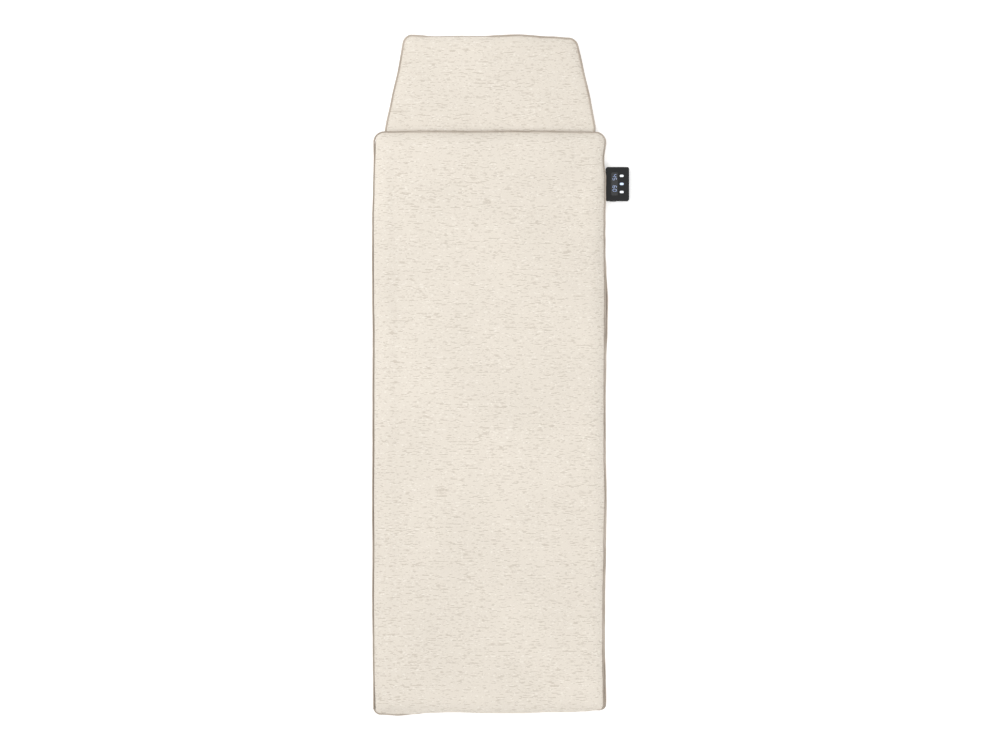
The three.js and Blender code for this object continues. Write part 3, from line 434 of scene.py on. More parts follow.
def finer(grid):
    """A grid of points with one more between each two, on a smooth curve through them."""
    def double(array):
        """The array with one more row between each two."""
        padded = np.concatenate([2 * array[:1] - array[1:2], array, 2 * array[-1:] - array[-2:-1]])
        between = (-padded[:-3] + 9 * padded[1:-2] + 9 * padded[2:-1] - padded[3:]) / 16
        result = np.empty((2 * len(array) - 1,) + array.shape[1:])
        result[0::2], result[1::2] = array, between
        return result
    return double(double(grid).swapaxes(0, 1)).swapaxes(0, 1)


def cord_tube(name, path, radius, sides=12, closed=False, wobble=0.0, seed=0):
    """A fabric-covered cord along a path, with a UV map of length along it and turn about it."""
    path = np.asarray(path, float)
    count = len(path)
    if closed:
        along = np.roll(path, -1, axis=0) - np.roll(path, 1, axis=0)
    else:
        along = np.gradient(path, axis=0)
    along /= np.linalg.norm(along, axis=1)[:, None]
    side = np.cross(along, [0, 0, 1])
    side /= np.linalg.norm(side, axis=1)[:, None]
    up = np.cross(side, along)
    step = np.linalg.norm(np.diff(np.vstack([path, path[:1]]) if closed else path, axis=0), axis=1)
    length = np.concatenate([[0], np.cumsum(step)])
    size = radius * (1 + wobble * wander(length[:count], seed, 0.05))
    turns = np.linspace(0, math.tau, sides, endpoint=False)
    ring = np.cos(turns)[None, :, None] * side[:, None, :] + np.sin(turns)[None, :, None] * up[:, None, :]
    vertices = (path[:, None, :] + ring * size[:, None, None]).reshape(-1, 3)
    faces, uvs = [], []
    for i in range(count if closed else count - 1):
        j = (i + 1) % count
        for k in range(sides):
            m = (k + 1) % sides
            faces.append((i * sides + k, i * sides + m, j * sides + m, j * sides + k))
            v0, v1 = k / sides, (k + 1) / sides
            uvs += [(length[i], v0), (length[i], v1), (length[i + 1], v1), (length[i + 1], v0)]
    if not closed:
        faces.append(tuple(range(sides))[::-1])
        uvs += [(0, 0)] * sides
        faces.append(tuple((count - 1) * sides + k for k in range(sides)))
        uvs += [(0, 0)] * sides
    piece = mesh_from(name, vertices, faces)
    layer = piece.data.uv_layers.new(name="cloth")
    layer.data.foreach_set("uv", np.array(uvs, np.float32).ravel())
    turn_outward(piece)
    return piece


# ---------------------------------------------------------------- shader groups
def new_group(name, inputs, outputs):
    """An empty shader group with its sockets, and its two end nodes."""
    tree = bpy.data.node_groups.new(name, "ShaderNodeTree")
    for socket, kind, value in inputs:
        made = tree.interface.new_socket(socket, in_out="INPUT", socket_type="NodeSocket" + kind)
        if value is not None:
            made.default_value = value
    for socket, kind in outputs:
        tree.interface.new_socket(socket, in_out="OUTPUT", socket_type="NodeSocket" + kind)
    start = tree.nodes.new("NodeGroupInput")
    end = tree.nodes.new("NodeGroupOutput")
    return tree, start, end


class Wiring:
    """Short calls that add nodes to a tree and join them."""

    def __init__(self, tree):
        self.tree = tree

    def node(self, kind, **settings):
        made = self.tree.nodes.new("ShaderNode" + kind)
        for key, value in settings.items():
            setattr(made, key, value)
        return made

    def join(self, source, target):
        self.tree.links.new(source, target)

    def put(self, socket, value):
        if isinstance(value, bpy.types.NodeSocket):
            self.join(value, socket)
        elif value is not None:
            socket.default_value = value

    def math(self, operation, a, b=None, c=None):
        made = self.node("Math", operation=operation)
        for socket, value in zip(made.inputs, (a, b, c)):
            self.put(socket, value)
        return made.outputs[0]

    def vector(self, operation, a, b=None):
        made = self.node("VectorMath", operation=operation)
        self.put(made.inputs[0], a)
        self.put(made.inputs[1], b)
        return made.outputs[0]

    def noise(self, vector, scale, detail=2.0, roughness=0.5, dimensions="3D"):
        made = self.node("TexNoise", noise_dimensions=dimensions)
        self.join(vector, made.inputs["Vector"])
        self.put(made.inputs["Scale"], scale)
        self.put(made.inputs["Detail"], detail)
        self.put(made.inputs["Roughness"], roughness)
        return made.outputs["Fac"]

    def between(self, value, low, high, out_low=0.0, out_high=1.0):
        made = self.node("MapRange", interpolation_type="SMOOTHSTEP")
        for key, given in (("Value", value), ("From Min", low), ("From Max", high), ("To Min", out_low),
                           ("To Max", out_high)):
            self.put(made.inputs[key], given)
        return made.outputs["Result"]

    def mix(self, fac, a, b, blend="MIX"):
        made = self.node("Mix", data_type="RGBA", blend_type=blend)
        self.put(made.inputs[MIX_FACTOR], fac)
        self.put(made.inputs[MIX_A], a)
        self.put(made.inputs[MIX_B], b)
        return made.outputs[MIX_RESULT]

    def shade(self, colour, tone):
        """The colour made lighter or darker by a tone about 1."""
        return self.mix(1.0, colour, self.combine(tone, tone, tone), "MULTIPLY")

    def place(self):
        return self.node("TexCoord").outputs["Object"]

    def bump(self, height, strength, distance, normal=None):
        made = self.node("Bump")
        self.put(made.inputs["Height"], height)
        self.put(made.inputs["Strength"], strength)
        self.put(made.inputs["Distance"], distance)
        if normal is not None:
            self.join(normal, made.inputs["Normal"])
        return made.outputs["Normal"]

    def split(self, vector):
        made = self.node("SeparateXYZ")
        self.join(vector, made.inputs[0])
        return made.outputs

    def combine(self, x, y, z=0.0):
        made = self.node("CombineXYZ")
        for socket, value in zip(made.inputs, (x, y, z)):
            self.put(socket, value)
        return made.outputs[0]


def rgb(red, green, blue):
    """A colour given as it looks on a screen, from 0 to 255."""
    def linear(value):
        """One channel, from how it looks to how much light it is."""
        value /= 255
        return value / 12.92 if value <= 0.04045 else ((value + 0.055) / 1.055) ** 2.4
    return (linear(red), linear(green), linear(blue), 1.0)


def build_heather_weave():
    """Heathered cloth on a map in metres: dark dashes and bright flecks in rows of yarn, and the weave's relief."""
    tree, start, end = new_group(
        "heather_weave",
        [("Map", "Vector", None), ("Ground", "Color", rgb(239, 231, 219)), ("Dash", "Color", rgb(206, 194, 178)),
         ("Fleck", "Color", rgb(252, 248, 240)), ("Row Height", "Float", 3.3 * MM), ("Dash Amount", "Float", 1.0)],
        [("Color", "Color"), ("Height", "Float"), ("Roughness", "Float")],
    )
    w = Wiring(tree)
    source = start.outputs
    u, v, _ = w.split(source["Map"])
    uneven = w.noise(w.vector("MULTIPLY", source["Map"], (14.0, 90.0, 1.0)), 1.0, 1.0, dimensions="2D")
    rows = w.math("ADD", w.math("DIVIDE", v, source["Row Height"]), w.math("MULTIPLY", uneven, 0.9))
    patch = w.noise(source["Map"], 9.0, 2.0)

    def slubs(shift, stretch, rarity, seed):
        """Thick places of the weft yarn: long thin lens shapes, in rows that differ in how many they hold."""
        shifted = w.math("ADD", rows, shift)
        row = w.math("FLOOR", shifted)
        across = w.math("ABSOLUTE", w.math("MULTIPLY_ADD", w.math("FRACT", shifted), 2.0, -1.0))
        busy = w.noise(w.combine(w.math("MULTIPLY", u, 5.0), w.math("MULTIPLY", row, 7.77 + seed)), 1.0, 0.0,
                       dimensions="2D")
        along = w.math("ADD", w.math("MULTIPLY", u, stretch), w.math("MULTIPLY", row, 17.1))
        yarn = w.noise(w.combine(along, w.math("MULTIPLY", row, 3.31 + seed)), 1.0, 1.0, dimensions="2D")
        limit = w.math("ADD", w.between(busy, 0.3, 0.7, rarity + 0.10, rarity),
                       w.between(patch, 0.3, 0.7, 0.015, -0.015))
        round_off = w.math("MULTIPLY", w.math("POWER", across, 2.0), 0.16)
        return w.between(w.math("SUBTRACT", w.math("SUBTRACT", yarn, limit), round_off), -0.01, 0.05)

    long_slub = slubs(0.0, 46.0, 0.535, 0.0)
    short_slub = slubs(0.37, 105.0, 0.565, 2.3)
    under_slub = w.math("MULTIPLY", slubs(0.62, 46.0, 0.545, 0.0), w.math("SUBTRACT", 1.0, long_slub))
    bright_slub = slubs(0.81, 88.0, 0.60, 5.1)
    dark = w.math("MULTIPLY", w.math("MAXIMUM", long_slub, w.math("MULTIPLY", short_slub, 0.6)), source["Dash Amount"])
    spun = w.noise(w.vector("MULTIPLY", source["Map"], (260.0, 1900.0, 1.0)), 1.0, 2.0, dimensions="2D")
    broken = w.between(spun, 0.35, 0.62, 0.45, 1.0)
    dark = w.math("MULTIPLY", dark, broken)
    fleck = w.math("MULTIPLY", w.math("MAXIMUM", bright_slub, w.math("MULTIPLY", under_slub, 0.4)), broken)
    fibre = w.noise(w.vector("MULTIPLY", source["Map"], (900.0, 2600.0, 1.0)), 1.0, 2.0, dimensions="2D")
    cloud = w.noise(source["Map"], 3.2, 3.0, 0.55)
    colour = w.mix(w.math("MULTIPLY", dark, 0.66), source["Ground"], source["Dash"])
    colour = w.mix(w.math("MULTIPLY", fleck, 0.85), colour, source["Fleck"])
    colour = w.shade(colour, w.between(fibre, 0.2, 0.8, 0.955, 1.03))
    colour = w.shade(colour, w.between(cloud, 0.25, 0.75, 0.97, 1.02))
    pick = 1.25 * MM
    lean = w.math("MULTIPLY", w.noise(w.vector("MULTIPLY", source["Map"], (60.0, 60.0, 1.0)), 1.0, 1.0,
                                      dimensions="2D"), 2.4)
    yarn_u = w.math("SINE", w.math("ADD", w.math("MULTIPLY", u, math.tau / pick), lean))
    yarn_v = w.math("SINE", w.math("ADD", w.math("MULTIPLY", v, math.tau / pick), lean))
    plain = w.math("MULTIPLY", yarn_u, yarn_v)
    colour = w.shade(colour, w.between(plain, -0.8, 0.8, 0.965, 1.02))
    height = w.math("ADD", w.math("MULTIPLY", plain, 0.55), w.math("MULTIPLY", fibre, 0.8))
    raised = w.math("MULTIPLY", w.math("MAXIMUM", w.math("MAXIMUM", long_slub, short_slub), bright_slub), 0.9)
    height = w.math("ADD", height, raised)
    w.join(colour, end.inputs["Color"])
    w.join(height, end.inputs["Height"])
    w.join(w.between(fibre, 0.2, 0.8, 0.86, 0.98), end.inputs["Roughness"])
    return tree


def build_grain():
    """Fine moulded grain with slow tone changes and rubbed spots, on object coordinates."""
    tree, start, end = new_group(
        "moulded_grain",
        [("Vector", "Vector", None), ("Color", "Color", (0.03, 0.03, 0.03, 1)), ("Scale", "Float", 1500.0),
         ("Roughness", "Float", 0.45), ("Variation", "Float", 0.15)],
        [("Color", "Color"), ("Height", "Float"), ("Roughness", "Float")],
    )
    w = Wiring(tree)
    source = start.outputs
    fine = w.noise(source["Vector"], source["Scale"], 2.0)
    slow = w.noise(source["Vector"], 45.0, 3.0)
    tone = w.math("MULTIPLY_ADD", w.math("SUBTRACT", slow, 0.5), source["Variation"], 1.0)
    w.join(w.shade(source["Color"], tone), end.inputs["Color"])
    w.join(fine, end.inputs["Height"])
    rough = w.math("ADD", source["Roughness"], w.math("MULTIPLY", w.math("SUBTRACT", slow, 0.5), 0.25))
    w.join(rough, end.inputs["Roughness"])
    return tree


HEATHER = build_heather_weave()
GRAIN = build_grain()


def new_material(name, **uniform):
    """A material with its Principled shader, uniform values set on the shader's own sockets."""
    material = bpy.data.materials.new(name)
    material.use_nodes = True
    shader = material.node_tree.nodes["Principled BSDF"]
    for key, value in uniform.items():
        shader.inputs[key.replace("_", " ")].default_value = value
    return material, Wiring(material.node_tree), shader


def use_group(w, group, **values):
    """Puts a shader group in a material and returns its outputs."""
    made = w.tree.nodes.new("ShaderNodeGroup")
    made.node_tree = group
    for key, value in values.items():
        w.put(made.inputs[key.replace("_", " ")], value)
    return made.outputs


def cloth_map(w):
    """The map made for cloth, in metres."""
    made = w.node("UVMap", uv_map="cloth")
    return made.outputs[0]


def cloth_material(name, ground, dash, fleck, amount=1.0, relief=0.35 * MM):
    """A material that wears the heather weave."""
    material, w, shader = new_material(name, Sheen_Weight=0.06, Sheen_Roughness=0.5, Specular_IOR_Level=0.15)
    weave = use_group(w, HEATHER, Map=cloth_map(w), Ground=ground, Dash=dash, Fleck=fleck, Dash_Amount=amount)
    w.join(weave["Color"], shader.inputs["Base Color"])
    w.join(weave["Roughness"], shader.inputs["Roughness"])
    w.join(w.bump(weave["Height"], 0.55, relief), shader.inputs["Normal"])
    return material


def bound_cord_material(name, colour, dark):
    """Bias-cut tape wrapped round a cord: slanting ribs, rubbed and shaded a little along its length."""
    material, w, shader = new_material(name, Sheen_Weight=0.05, Specular_IOR_Level=0.15)
    u, v, _ = w.split(cloth_map(w))
    slant = w.math("ADD", w.math("MULTIPLY", u, math.tau / (1.3 * MM)), w.math("MULTIPLY", v, 2 * math.tau))
    other = w.math("SUBTRACT", w.math("MULTIPLY", u, math.tau / (1.3 * MM)), w.math("MULTIPLY", v, 2 * math.tau))
    weave = w.math("MULTIPLY", w.math("SINE", slant), w.math("SINE", other))
    long_tone = w.noise(w.combine(w.math("MULTIPLY", u, 9.0), v), 1.0, 3.0, dimensions="2D")
    speck = w.noise(w.combine(w.math("MULTIPLY", u, 700.0), w.math("MULTIPLY", v, 12.0)), 1.0, 1.0, dimensions="2D")
    tone = w.between(long_tone, 0.35, 0.65)
    tinted = w.mix(tone, colour, dark)
    tinted = w.shade(tinted, w.between(speck, 0.3, 0.7, 0.86, 1.08))
    w.join(tinted, shader.inputs["Base Color"])
    w.join(w.between(speck, 0.2, 0.8, 0.8, 0.95), shader.inputs["Roughness"])
    w.join(w.bump(w.math("ADD", weave, speck), 0.5, 0.25 * MM), shader.inputs["Normal"])
    return material


def grained_material(name, colour, roughness, scale=1500.0, variation=0.15, relief=0.03 * MM, **uniform):
    """A moulded or coated material with fine grain."""
    material, w, shader = new_material(name, **uniform)
    place = w.place()
    grain = use_group(w, GRAIN, Vector=place, Color=colour, Scale=scale, Roughness=roughness, Variation=variation)
    w.join(grain["Color"], shader.inputs["Base Color"])
    w.join(grain["Roughness"], shader.inputs["Roughness"])
    w.join(w.bump(grain["Height"], 0.5, relief), shader.inputs["Normal"])
    return material


CREAM = cloth_material("cream_heather", rgb(226, 218, 206), rgb(186, 175, 160), rgb(243, 237, 227))
CORDING = bound_cord_material("taupe_cording", rgb(196, 185, 173), rgb(176, 164, 151))


def assign(piece, *materials):
    """Gives the piece these materials and no others."""
    piece.data.materials.clear()
    for material in materials:
        piece.data.materials.append(material)


# ---------------------------------------------------------------- camera, light and floor
CAMERA_HEIGHT = 7.0
VIEW_WIDTH = 3.098
VIEW_CENTRE = (0.0325, 0.1466)
SENSOR = 36
SKY_LIGHT = 0.72
FLOOR_GLOW = 0.38
LAMPS = (
    # name, place, side of the square, power
    ("soft_key", (-1.9, 1.5, 3.3), 2.4, 66),
    ("soft_fill", (1.7, -2.0, 3.6), 3.0, 49),
)
LAMP_AIM = Vector((0, 0.1, 0))


def set_camera():
    """A camera straight above, framing the whole blanket."""
    data = bpy.data.cameras.new("camera")
    data.lens_unit = "MILLIMETERS"
    data.sensor_width = SENSOR
    data.lens = SENSOR * (CAMERA_HEIGHT - MAT_TOP) / VIEW_WIDTH
    data.clip_end = 100
    camera = bpy.data.objects.new("camera", data)
    camera.location = (VIEW_CENTRE[0], VIEW_CENTRE[1], CAMERA_HEIGHT)
    scene.collection.objects.link(camera)
    scene.camera = camera


def set_light():
    """An even white sky with two soft lamps."""
    scene.view_settings.view_transform = "Standard"
    world = bpy.data.worlds.new("studio")
    scene.world = world
    world.use_nodes = True
    world.node_tree.nodes["Background"].inputs["Color"].default_value = (1, 1, 1, 1)
    world.node_tree.nodes["Background"].inputs["Strength"].default_value = SKY_LIGHT
    for name, place, size, power in LAMPS:
        data = bpy.data.lights.new(name, "AREA")
        data.shape = "SQUARE"
        data.size = size
        data.energy = power
        lamp = bpy.data.objects.new(name, data)
        lamp.location = place
        lamp.rotation_euler = (LAMP_AIM - Vector(place)).to_track_quat("-Z", "Y").to_euler()
        scene.collection.objects.link(lamp)


def lay_floor():
    """A plain pale floor, a hair below the piece so that the two don't flicker where they touch."""
    reach = 30
    corners = [(-reach, -reach, 0), (reach, -reach, 0), (reach, reach, 0), (-reach, reach, 0)]
    floor = mesh_from("studio_floor", corners, [(0, 1, 2, 3)], smooth=False)
    floor.data.transform(Matrix.Translation((0, 0, -0.3 * MM)))
    material, _, _ = new_material(
        "white_floor", Roughness=0.9, Specular_IOR_Level=0.1, Base_Color=(0.86, 0.86, 0.86, 1),
        Emission_Color=(1, 1, 1, 1), Emission_Strength=FLOOR_GLOW)
    assign(floor, material)


set_camera()
set_light()
lay_floor()

# ---------------------------------------------------------------- finishes of the parts inside
def thin_metal(name, colour, roughness):
    """Metal with fine drawn streaks."""
    material, w, shader = new_material(name, Metallic=1.0)
    place = w.vector("MULTIPLY", w.place(), (400.0, 8.0, 400.0))
    drawn = w.noise(place, 1.0, 3.0)
    tone = w.between(drawn, 0.2, 0.8, 0.86, 1.06)
    w.join(w.shade(colour, tone), shader.inputs["Base Color"])
    w.join(w.between(drawn, 0.2, 0.8, roughness - 0.08, roughness + 0.12), shader.inputs["Roughness"])
    w.join(w.bump(drawn, 0.3, 0.02 * MM), shader.inputs["Normal"])
    return material


def wobbled(w, place, amount):
    """Coordinates pushed about a little by noise."""
    noise = w.node("TexNoise")
    w.join(place, noise.inputs["Vector"])
    return w.vector("ADD", place, w.vector("MULTIPLY", noise.outputs["Color"], (amount, amount, amount)))


def crinkled_foil():
    """Bright foil with small folds."""
    material, w, shader = new_material("crinkled_foil", Metallic=1.0)
    place = w.place()
    creases = w.node("TexVoronoi", feature="DISTANCE_TO_EDGE")
    w.join(wobbled(w, place, 0.02), creases.inputs["Vector"])
    creases.inputs["Scale"].default_value = 38
    folds = w.between(creases.outputs["Distance"], 0.0, 0.12)
    soft = w.noise(place, 60.0, 3.0)
    w.join(w.mix(soft, rgb(206, 208, 210), rgb(232, 233, 235)), shader.inputs["Base Color"])
    w.join(w.between(soft, 0.3, 0.7, 0.18, 0.34), shader.inputs["Roughness"])
    w.join(w.bump(w.math("ADD", folds, soft), 0.5, 0.8 * MM), shader.inputs["Normal"])
    return material


def pressed_felt():
    """Pale needle felt with fibres and clumps."""
    material, w, shader = new_material("pressed_felt", Sheen_Weight=0.3, Specular_IOR_Level=0.1)
    place = w.place()
    warped = wobbled(w, place, 0.002)
    fibres = w.noise(w.vector("MULTIPLY", warped, (900.0, 240.0, 900.0)), 1.0, 4.0, 0.7)
    clumps = w.noise(place, 160.0, 3.0)
    colour = w.mix(w.between(clumps, 0.3, 0.7), rgb(214, 211, 205), rgb(236, 234, 229))
    colour = w.mix(w.between(fibres, 0.55, 0.8), colour, rgb(188, 184, 178))
    w.join(colour, shader.inputs["Base Color"])
    w.join(w.between(fibres, 0.2, 0.8, 0.85, 1.0), shader.inputs["Roughness"])
    w.join(w.bump(w.math("ADD", fibres, clumps), 0.8, 0.6 * MM), shader.inputs["Normal"])
    return material


def woven_carrier(name, colour, dark, spacing):
    """A plain open weave on object coordinates."""
    material, w, shader = new_material(name, Specular_IOR_Level=0.2)
    x, y, _ = w.split(w.place())
    warp = w.math("SINE", w.math("MULTIPLY", x, math.tau / spacing))
    weft = w.math("SINE", w.math("MULTIPLY", y, math.tau / spacing))
    weave = w.math("MULTIPLY", warp, weft)
    slow = w.noise(w.combine(x, y), 30.0, 2.0, dimensions="2D")
    tinted = w.mix(w.between(weave, -0.6, 0.6), dark, colour)
    tone = w.between(slow, 0.3, 0.7, 0.93, 1.04)
    w.join(w.shade(tinted, tone), shader.inputs["Base Color"])
    w.join(w.between(weave, -1.0, 1.0, 0.9, 0.7), shader.inputs["Roughness"])
    w.join(w.bump(weave, 0.5, 0.2 * MM), shader.inputs["Normal"])
    return material


def circuit_board_finish():
    """Green lacquer over straight copper tracks, with small plated holes."""
    material, w, shader = new_material("circuit_board_lacquer", Coat_Weight=0.4, Coat_Roughness=0.15)
    place = w.place()
    x, y, _ = w.split(place)
    cell = 1.9 * MM
    lane = w.noise(w.combine(w.math("FLOOR", w.math("DIVIDE", x, cell)), w.math("MULTIPLY", y, 60.0)), 1.0, 0.0,
                   dimensions="2D")
    beside = w.math("ABSOLUTE", w.math("SINE", w.math("MULTIPLY", x, math.pi / cell)))
    track = w.math("MULTIPLY", w.between(lane, 0.45, 0.5), w.between(beside, 0.72, 0.8))
    holes = w.node("TexVoronoi", feature="F1")
    w.join(place, holes.inputs["Vector"])
    holes.inputs["Scale"].default_value = 210
    hole = w.between(holes.outputs["Distance"], 0.16, 0.12, 0.0, 1.0)
    green = w.mix(track, rgb(22, 74, 48), rgb(48, 116, 70))
    w.join(w.mix(hole, green, rgb(196, 176, 120)), shader.inputs["Base Color"])
    w.join(hole, shader.inputs["Metallic"])
    w.join(w.math("MULTIPLY_ADD", track, -0.1, 0.5), shader.inputs["Roughness"])
    w.join(w.bump(track, 0.4, 0.05 * MM), shader.inputs["Normal"])
    return material


def lit_material(name, colour, strength, edge_shade):
    """A lit cap or segment, its glow fading a little in soft patches."""
    material, w, shader = new_material(name, Roughness=0.35)
    place = w.place()
    patch = w.noise(place, 420.0, 1.0)
    glow = w.mix(w.between(patch, 0.3, 0.7), edge_shade, colour)
    w.join(glow, shader.inputs["Base Color"])
    w.join(glow, shader.inputs["Emission Color"])
    shader.inputs["Emission Strength"].default_value = strength
    w.join(w.between(patch, 0.2, 0.8, 0.3, 0.45), shader.inputs["Roughness"])
    return material


def smoked_window():
    """The controller's dark glossy window."""
    material, w, shader = new_material("smoked_window", Coat_Weight=1.0, Coat_Roughness=0.1, IOR=1.5)
    place = w.place()
    haze = w.noise(place, 90.0, 3.0)
    rub = w.noise(w.vector("MULTIPLY", place, (260.0, 2200.0, 260.0)), 1.0, 2.0)
    w.join(w.mix(haze, rgb(17, 19, 22), rgb(30, 32, 36)), shader.inputs["Base Color"])
    w.join(w.between(rub, 0.55, 0.8, 0.1, 0.22), shader.inputs["Roughness"])
    w.join(w.bump(haze, 0.15, 0.02 * MM), shader.inputs["Normal"])
    return material


CASING = grained_material("casing_black", rgb(24, 25, 26), 0.6, scale=2600.0, relief=0.05 * MM, Specular_IOR_Level=0.32)
SOCKET_BLACK = grained_material("socket_black", rgb(32, 33, 34), 0.42, scale=1800.0)
BEZEL_GREY = grained_material("bezel_grey", rgb(70, 70, 71), 0.5, scale=2200.0)
SILICONE = grained_material("keypad_silicone", rgb(214, 214, 210), 0.6, scale=900.0, Subsurface_Weight=0.15)
CHIP = grained_material("chip_moulding", rgb(28, 28, 30), 0.6, scale=3200.0)
RELAY = grained_material("relay_case", rgb(34, 78, 142), 0.4, scale=1200.0)
SENSOR_EPOXY = grained_material("sensor_epoxy", rgb(44, 40, 38), 0.3, scale=1400.0)
FUSE_SLEEVE = grained_material("fuse_sleeve", rgb(232, 228, 214), 0.45, scale=1600.0)
CORD_JACKET = grained_material("heating_cord_jacket", rgb(186, 56, 44), 0.42, scale=1900.0, Subsurface_Weight=0.1)
LEAD_JACKET = grained_material("lead_jacket", rgb(226, 224, 218), 0.45, scale=1700.0)
DISPLAY_CASE = grained_material("display_case", rgb(24, 25, 27), 0.35, scale=1500.0)
BRASS = thin_metal("tinned_brass", rgb(214, 196, 150), 0.28)
STEEL = thin_metal("plated_steel", rgb(178, 180, 184), 0.3)
FOIL = crinkled_foil()
FELT = pressed_felt()
CARRIER = woven_carrier("carrier_scrim", rgb(232, 228, 218), rgb(196, 190, 178), 2.2 * MM)
WADDING = woven_carrier("comfort_wadding", rgb(240, 239, 236), rgb(218, 216, 211), 3.6 * MM)
BOARD = circuit_board_finish()
WINDOW = smoked_window()
KEY_LIGHT = lit_material("key_light", rgb(236, 239, 242), 0.32, rgb(214, 219, 226))
KEY_LIGHT_BLUE = lit_material("key_light_blue", rgb(212, 224, 244), 0.36, rgb(178, 200, 236))
DIGIT_LIGHT = lit_material("digit_light", rgb(186, 200, 232), 0.4, rgb(150, 176, 226))

NODE_FINISHES = {
    CORD_JACKET: ("base_heating_cord", "cover_heating_cord"),
    LEAD_JACKET: ("base_supply_lead", "base_return_lead", "cover_feed_lead", "cover_supply_lead", "cover_return_lead"),
    SENSOR_EPOXY: ("base_temperature_sensor", "cover_temperature_sensor"),
    FUSE_SLEEVE: ("base_thermal_fuse", "cover_thermal_fuse"),
    SOCKET_BLACK: ("dock_housing", "coupling_plug", "mains_inlet"),
    BEZEL_GREY: ("dock_bezel",),
    BRASS: ("dock_contact_strip", "inlet_pin_left", "inlet_pin_right", "mains_fuse"),
    DISPLAY_CASE: ("display_module",),
    BOARD: ("controller_circuit_board",),
    SILICONE: ("keypad_membrane",),
    RELAY: ("power_relay",),
    CHIP: ("control_chip",),
}
for finish, names in NODE_FINISHES.items():
    for node_name in names:
        assign(nodes[node_name], finish)

# ---------------------------------------------------------------- shared heights and edges
COVER_SEWN = 4.2 * MM
MAT_SEWN = 4.4 * MM
CREST = COVER_TOP + 2.0 * MM
COVER_CORD_Z = 24.9 * MM
MAT_CORD_Z = 19.1 * MM
LEFT_CORD_Z = 16.9 * MM
FOOT_TUCK = [(-0.36, 0.0), (-0.285, 0.0), (-0.23, 1.0), (0.30, 1.0), (0.345, 0.7), (0.36, 0.4)]
HEAD_TUCK = [(-0.27, 0.0), (-0.225, 0.15), (-0.17, 1.0), (-0.02, 1.0), (0.02, 0.3), (0.10, 0.5), (0.2, 0.1),
             (0.27, 0.0)]


def soft_relief(x, y, seed, height):
    """Slow swells of the filling under the cloth."""
    rng = np.random.default_rng(seed)
    total = np.zeros_like(x)
    for _ in range(14):
        angle, size = rng.uniform(0, math.pi), rng.uniform(0.09, 0.35)
        total += np.sin((x * math.cos(angle) + y * math.sin(angle)) * math.tau / size + rng.uniform(0, 6.3)) * size
    return total / 0.8 * height


def near_foot(points, reach=0.05):
    """1 at the foot edge, falling to 0 over the reach."""
    return unit((FOOT_Y + reach - points[:, 1]) / reach)


def near_head(points, reach=0.05):
    """1 at the headrest's far edge, falling to 0 over the reach."""
    return unit((points[:, 1] - HEAD_Y + reach) / reach)


def pillow_side(distance, tucked, out):
    """How far the cloth stands out from a tucked-in seam, at each distance from it."""
    rise = unit(distance / (6 * MM))
    fall = unit((distance - 6 * MM) / (45 * MM))
    return out * rise * rise * (3 - 2 * rise) * (1 - smooth(fall)) - tucked * (1 - rise)


def drop_onto(piece, plan, above):
    """The plan points put on the piece's upper surface, a little above it."""
    piece_tree = BVHTree.FromPolygons([v.co for v in piece.data.vertices], [p.vertices for p in piece.data.polygons])
    found = []
    for x, y in plan:
        place, _, _, _ = piece_tree.ray_cast(Vector((x, y, 0.2)), Vector((0, 0, -1)))
        found.append((x, y, place.z + above) if place else (x, y, np.nan))
    found = np.array(found)
    good = ~np.isnan(found[:, 2])
    found[~good, 2] = np.interp(np.nonzero(~good)[0], np.nonzero(good)[0], found[good, 2])
    return found


# ---------------------------------------------------------------- cover
def make_cover_quilt():
    """The cover's outer cloth over its filling."""
    sewn = rounded(COVER_CORNERS, COVER_SEWN)
    low, high = sewn[:, 1].min(), sewn[:, 1].max()
    rows = row_places(low, high, 0.018, 0.028, 9 * MM)
    plan = plan_grid(sewn, rows, column_places(first=5 * MM, growth=1.25, widest=18 * MM))
    flat = plan.reshape(-1, 2)
    flat[:, 0] = np.maximum(flat[:, 0], HINGE_X + 3.3 * MM)
    distance = edge_distance(flat, sewn)
    sewn_z = COVER_CORD_Z + 1.5 * MM
    top_z = sewn_z + (CREST - sewn_z) * bulge(distance, COVER_ROUNDING) + 2.0 * MM * unit(distance / 0.25)
    top_z = top_z + soft_relief(flat[:, 0], flat[:, 1], 11, 1.0 * MM) * unit(distance / 0.05)
    moved = stray(flat, of_cover=True)
    tuck = eased(flat[:, 0], FOOT_TUCK) * near_foot(flat, 0.07)
    moved[:, 1] -= tuck * pillow_side(distance, COVER_TUCK, 8.5 * MM)
    upper = np.column_stack([moved, top_z]).reshape(plan.shape[0], plan.shape[1], 3)
    edge = distance.reshape(plan.shape[:2])
    upper = upper + swelling(upper, hold(edge, 0.09), unit(1 - edge / 0.07), 2.2, 22, COVER_SWELL_LIMIT)
    upper = finer(upper)
    border = np.ones(upper.shape[:2], bool)
    border[1:-1, 1:-1] = False
    lower = upper.copy()
    lower[~border, 2] = COVER_UNDER + 1.0 * MM
    piece = closed_pad("cover_quilt", upper, lower)
    add_cloth_map(piece, sewn, lambda d: 11 * MM * unit(1 - d / COVER_ROUNDING) ** 2)
    assign(piece, CREAM)
    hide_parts("cover_outer_fabric")
    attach(piece, "cover")
    return piece


def mat_cord_height(points):
    """The mat's sewn edge: higher along the closed right side and foot, lower along the left seam and the headrest."""
    toward_right = unit((points[:, 0] - 0.25) / 0.08)
    toward_foot = unit((FOOT_Y + 0.04 - points[:, 1]) / 0.03) * unit((points[:, 0] + 0.34) / 0.04)
    beyond = unit((points[:, 1] - 0.80) / 0.06)
    share = np.maximum(toward_right * (1 - beyond), toward_foot)
    return LEFT_CORD_Z + (MAT_CORD_Z - LEFT_CORD_Z) * share


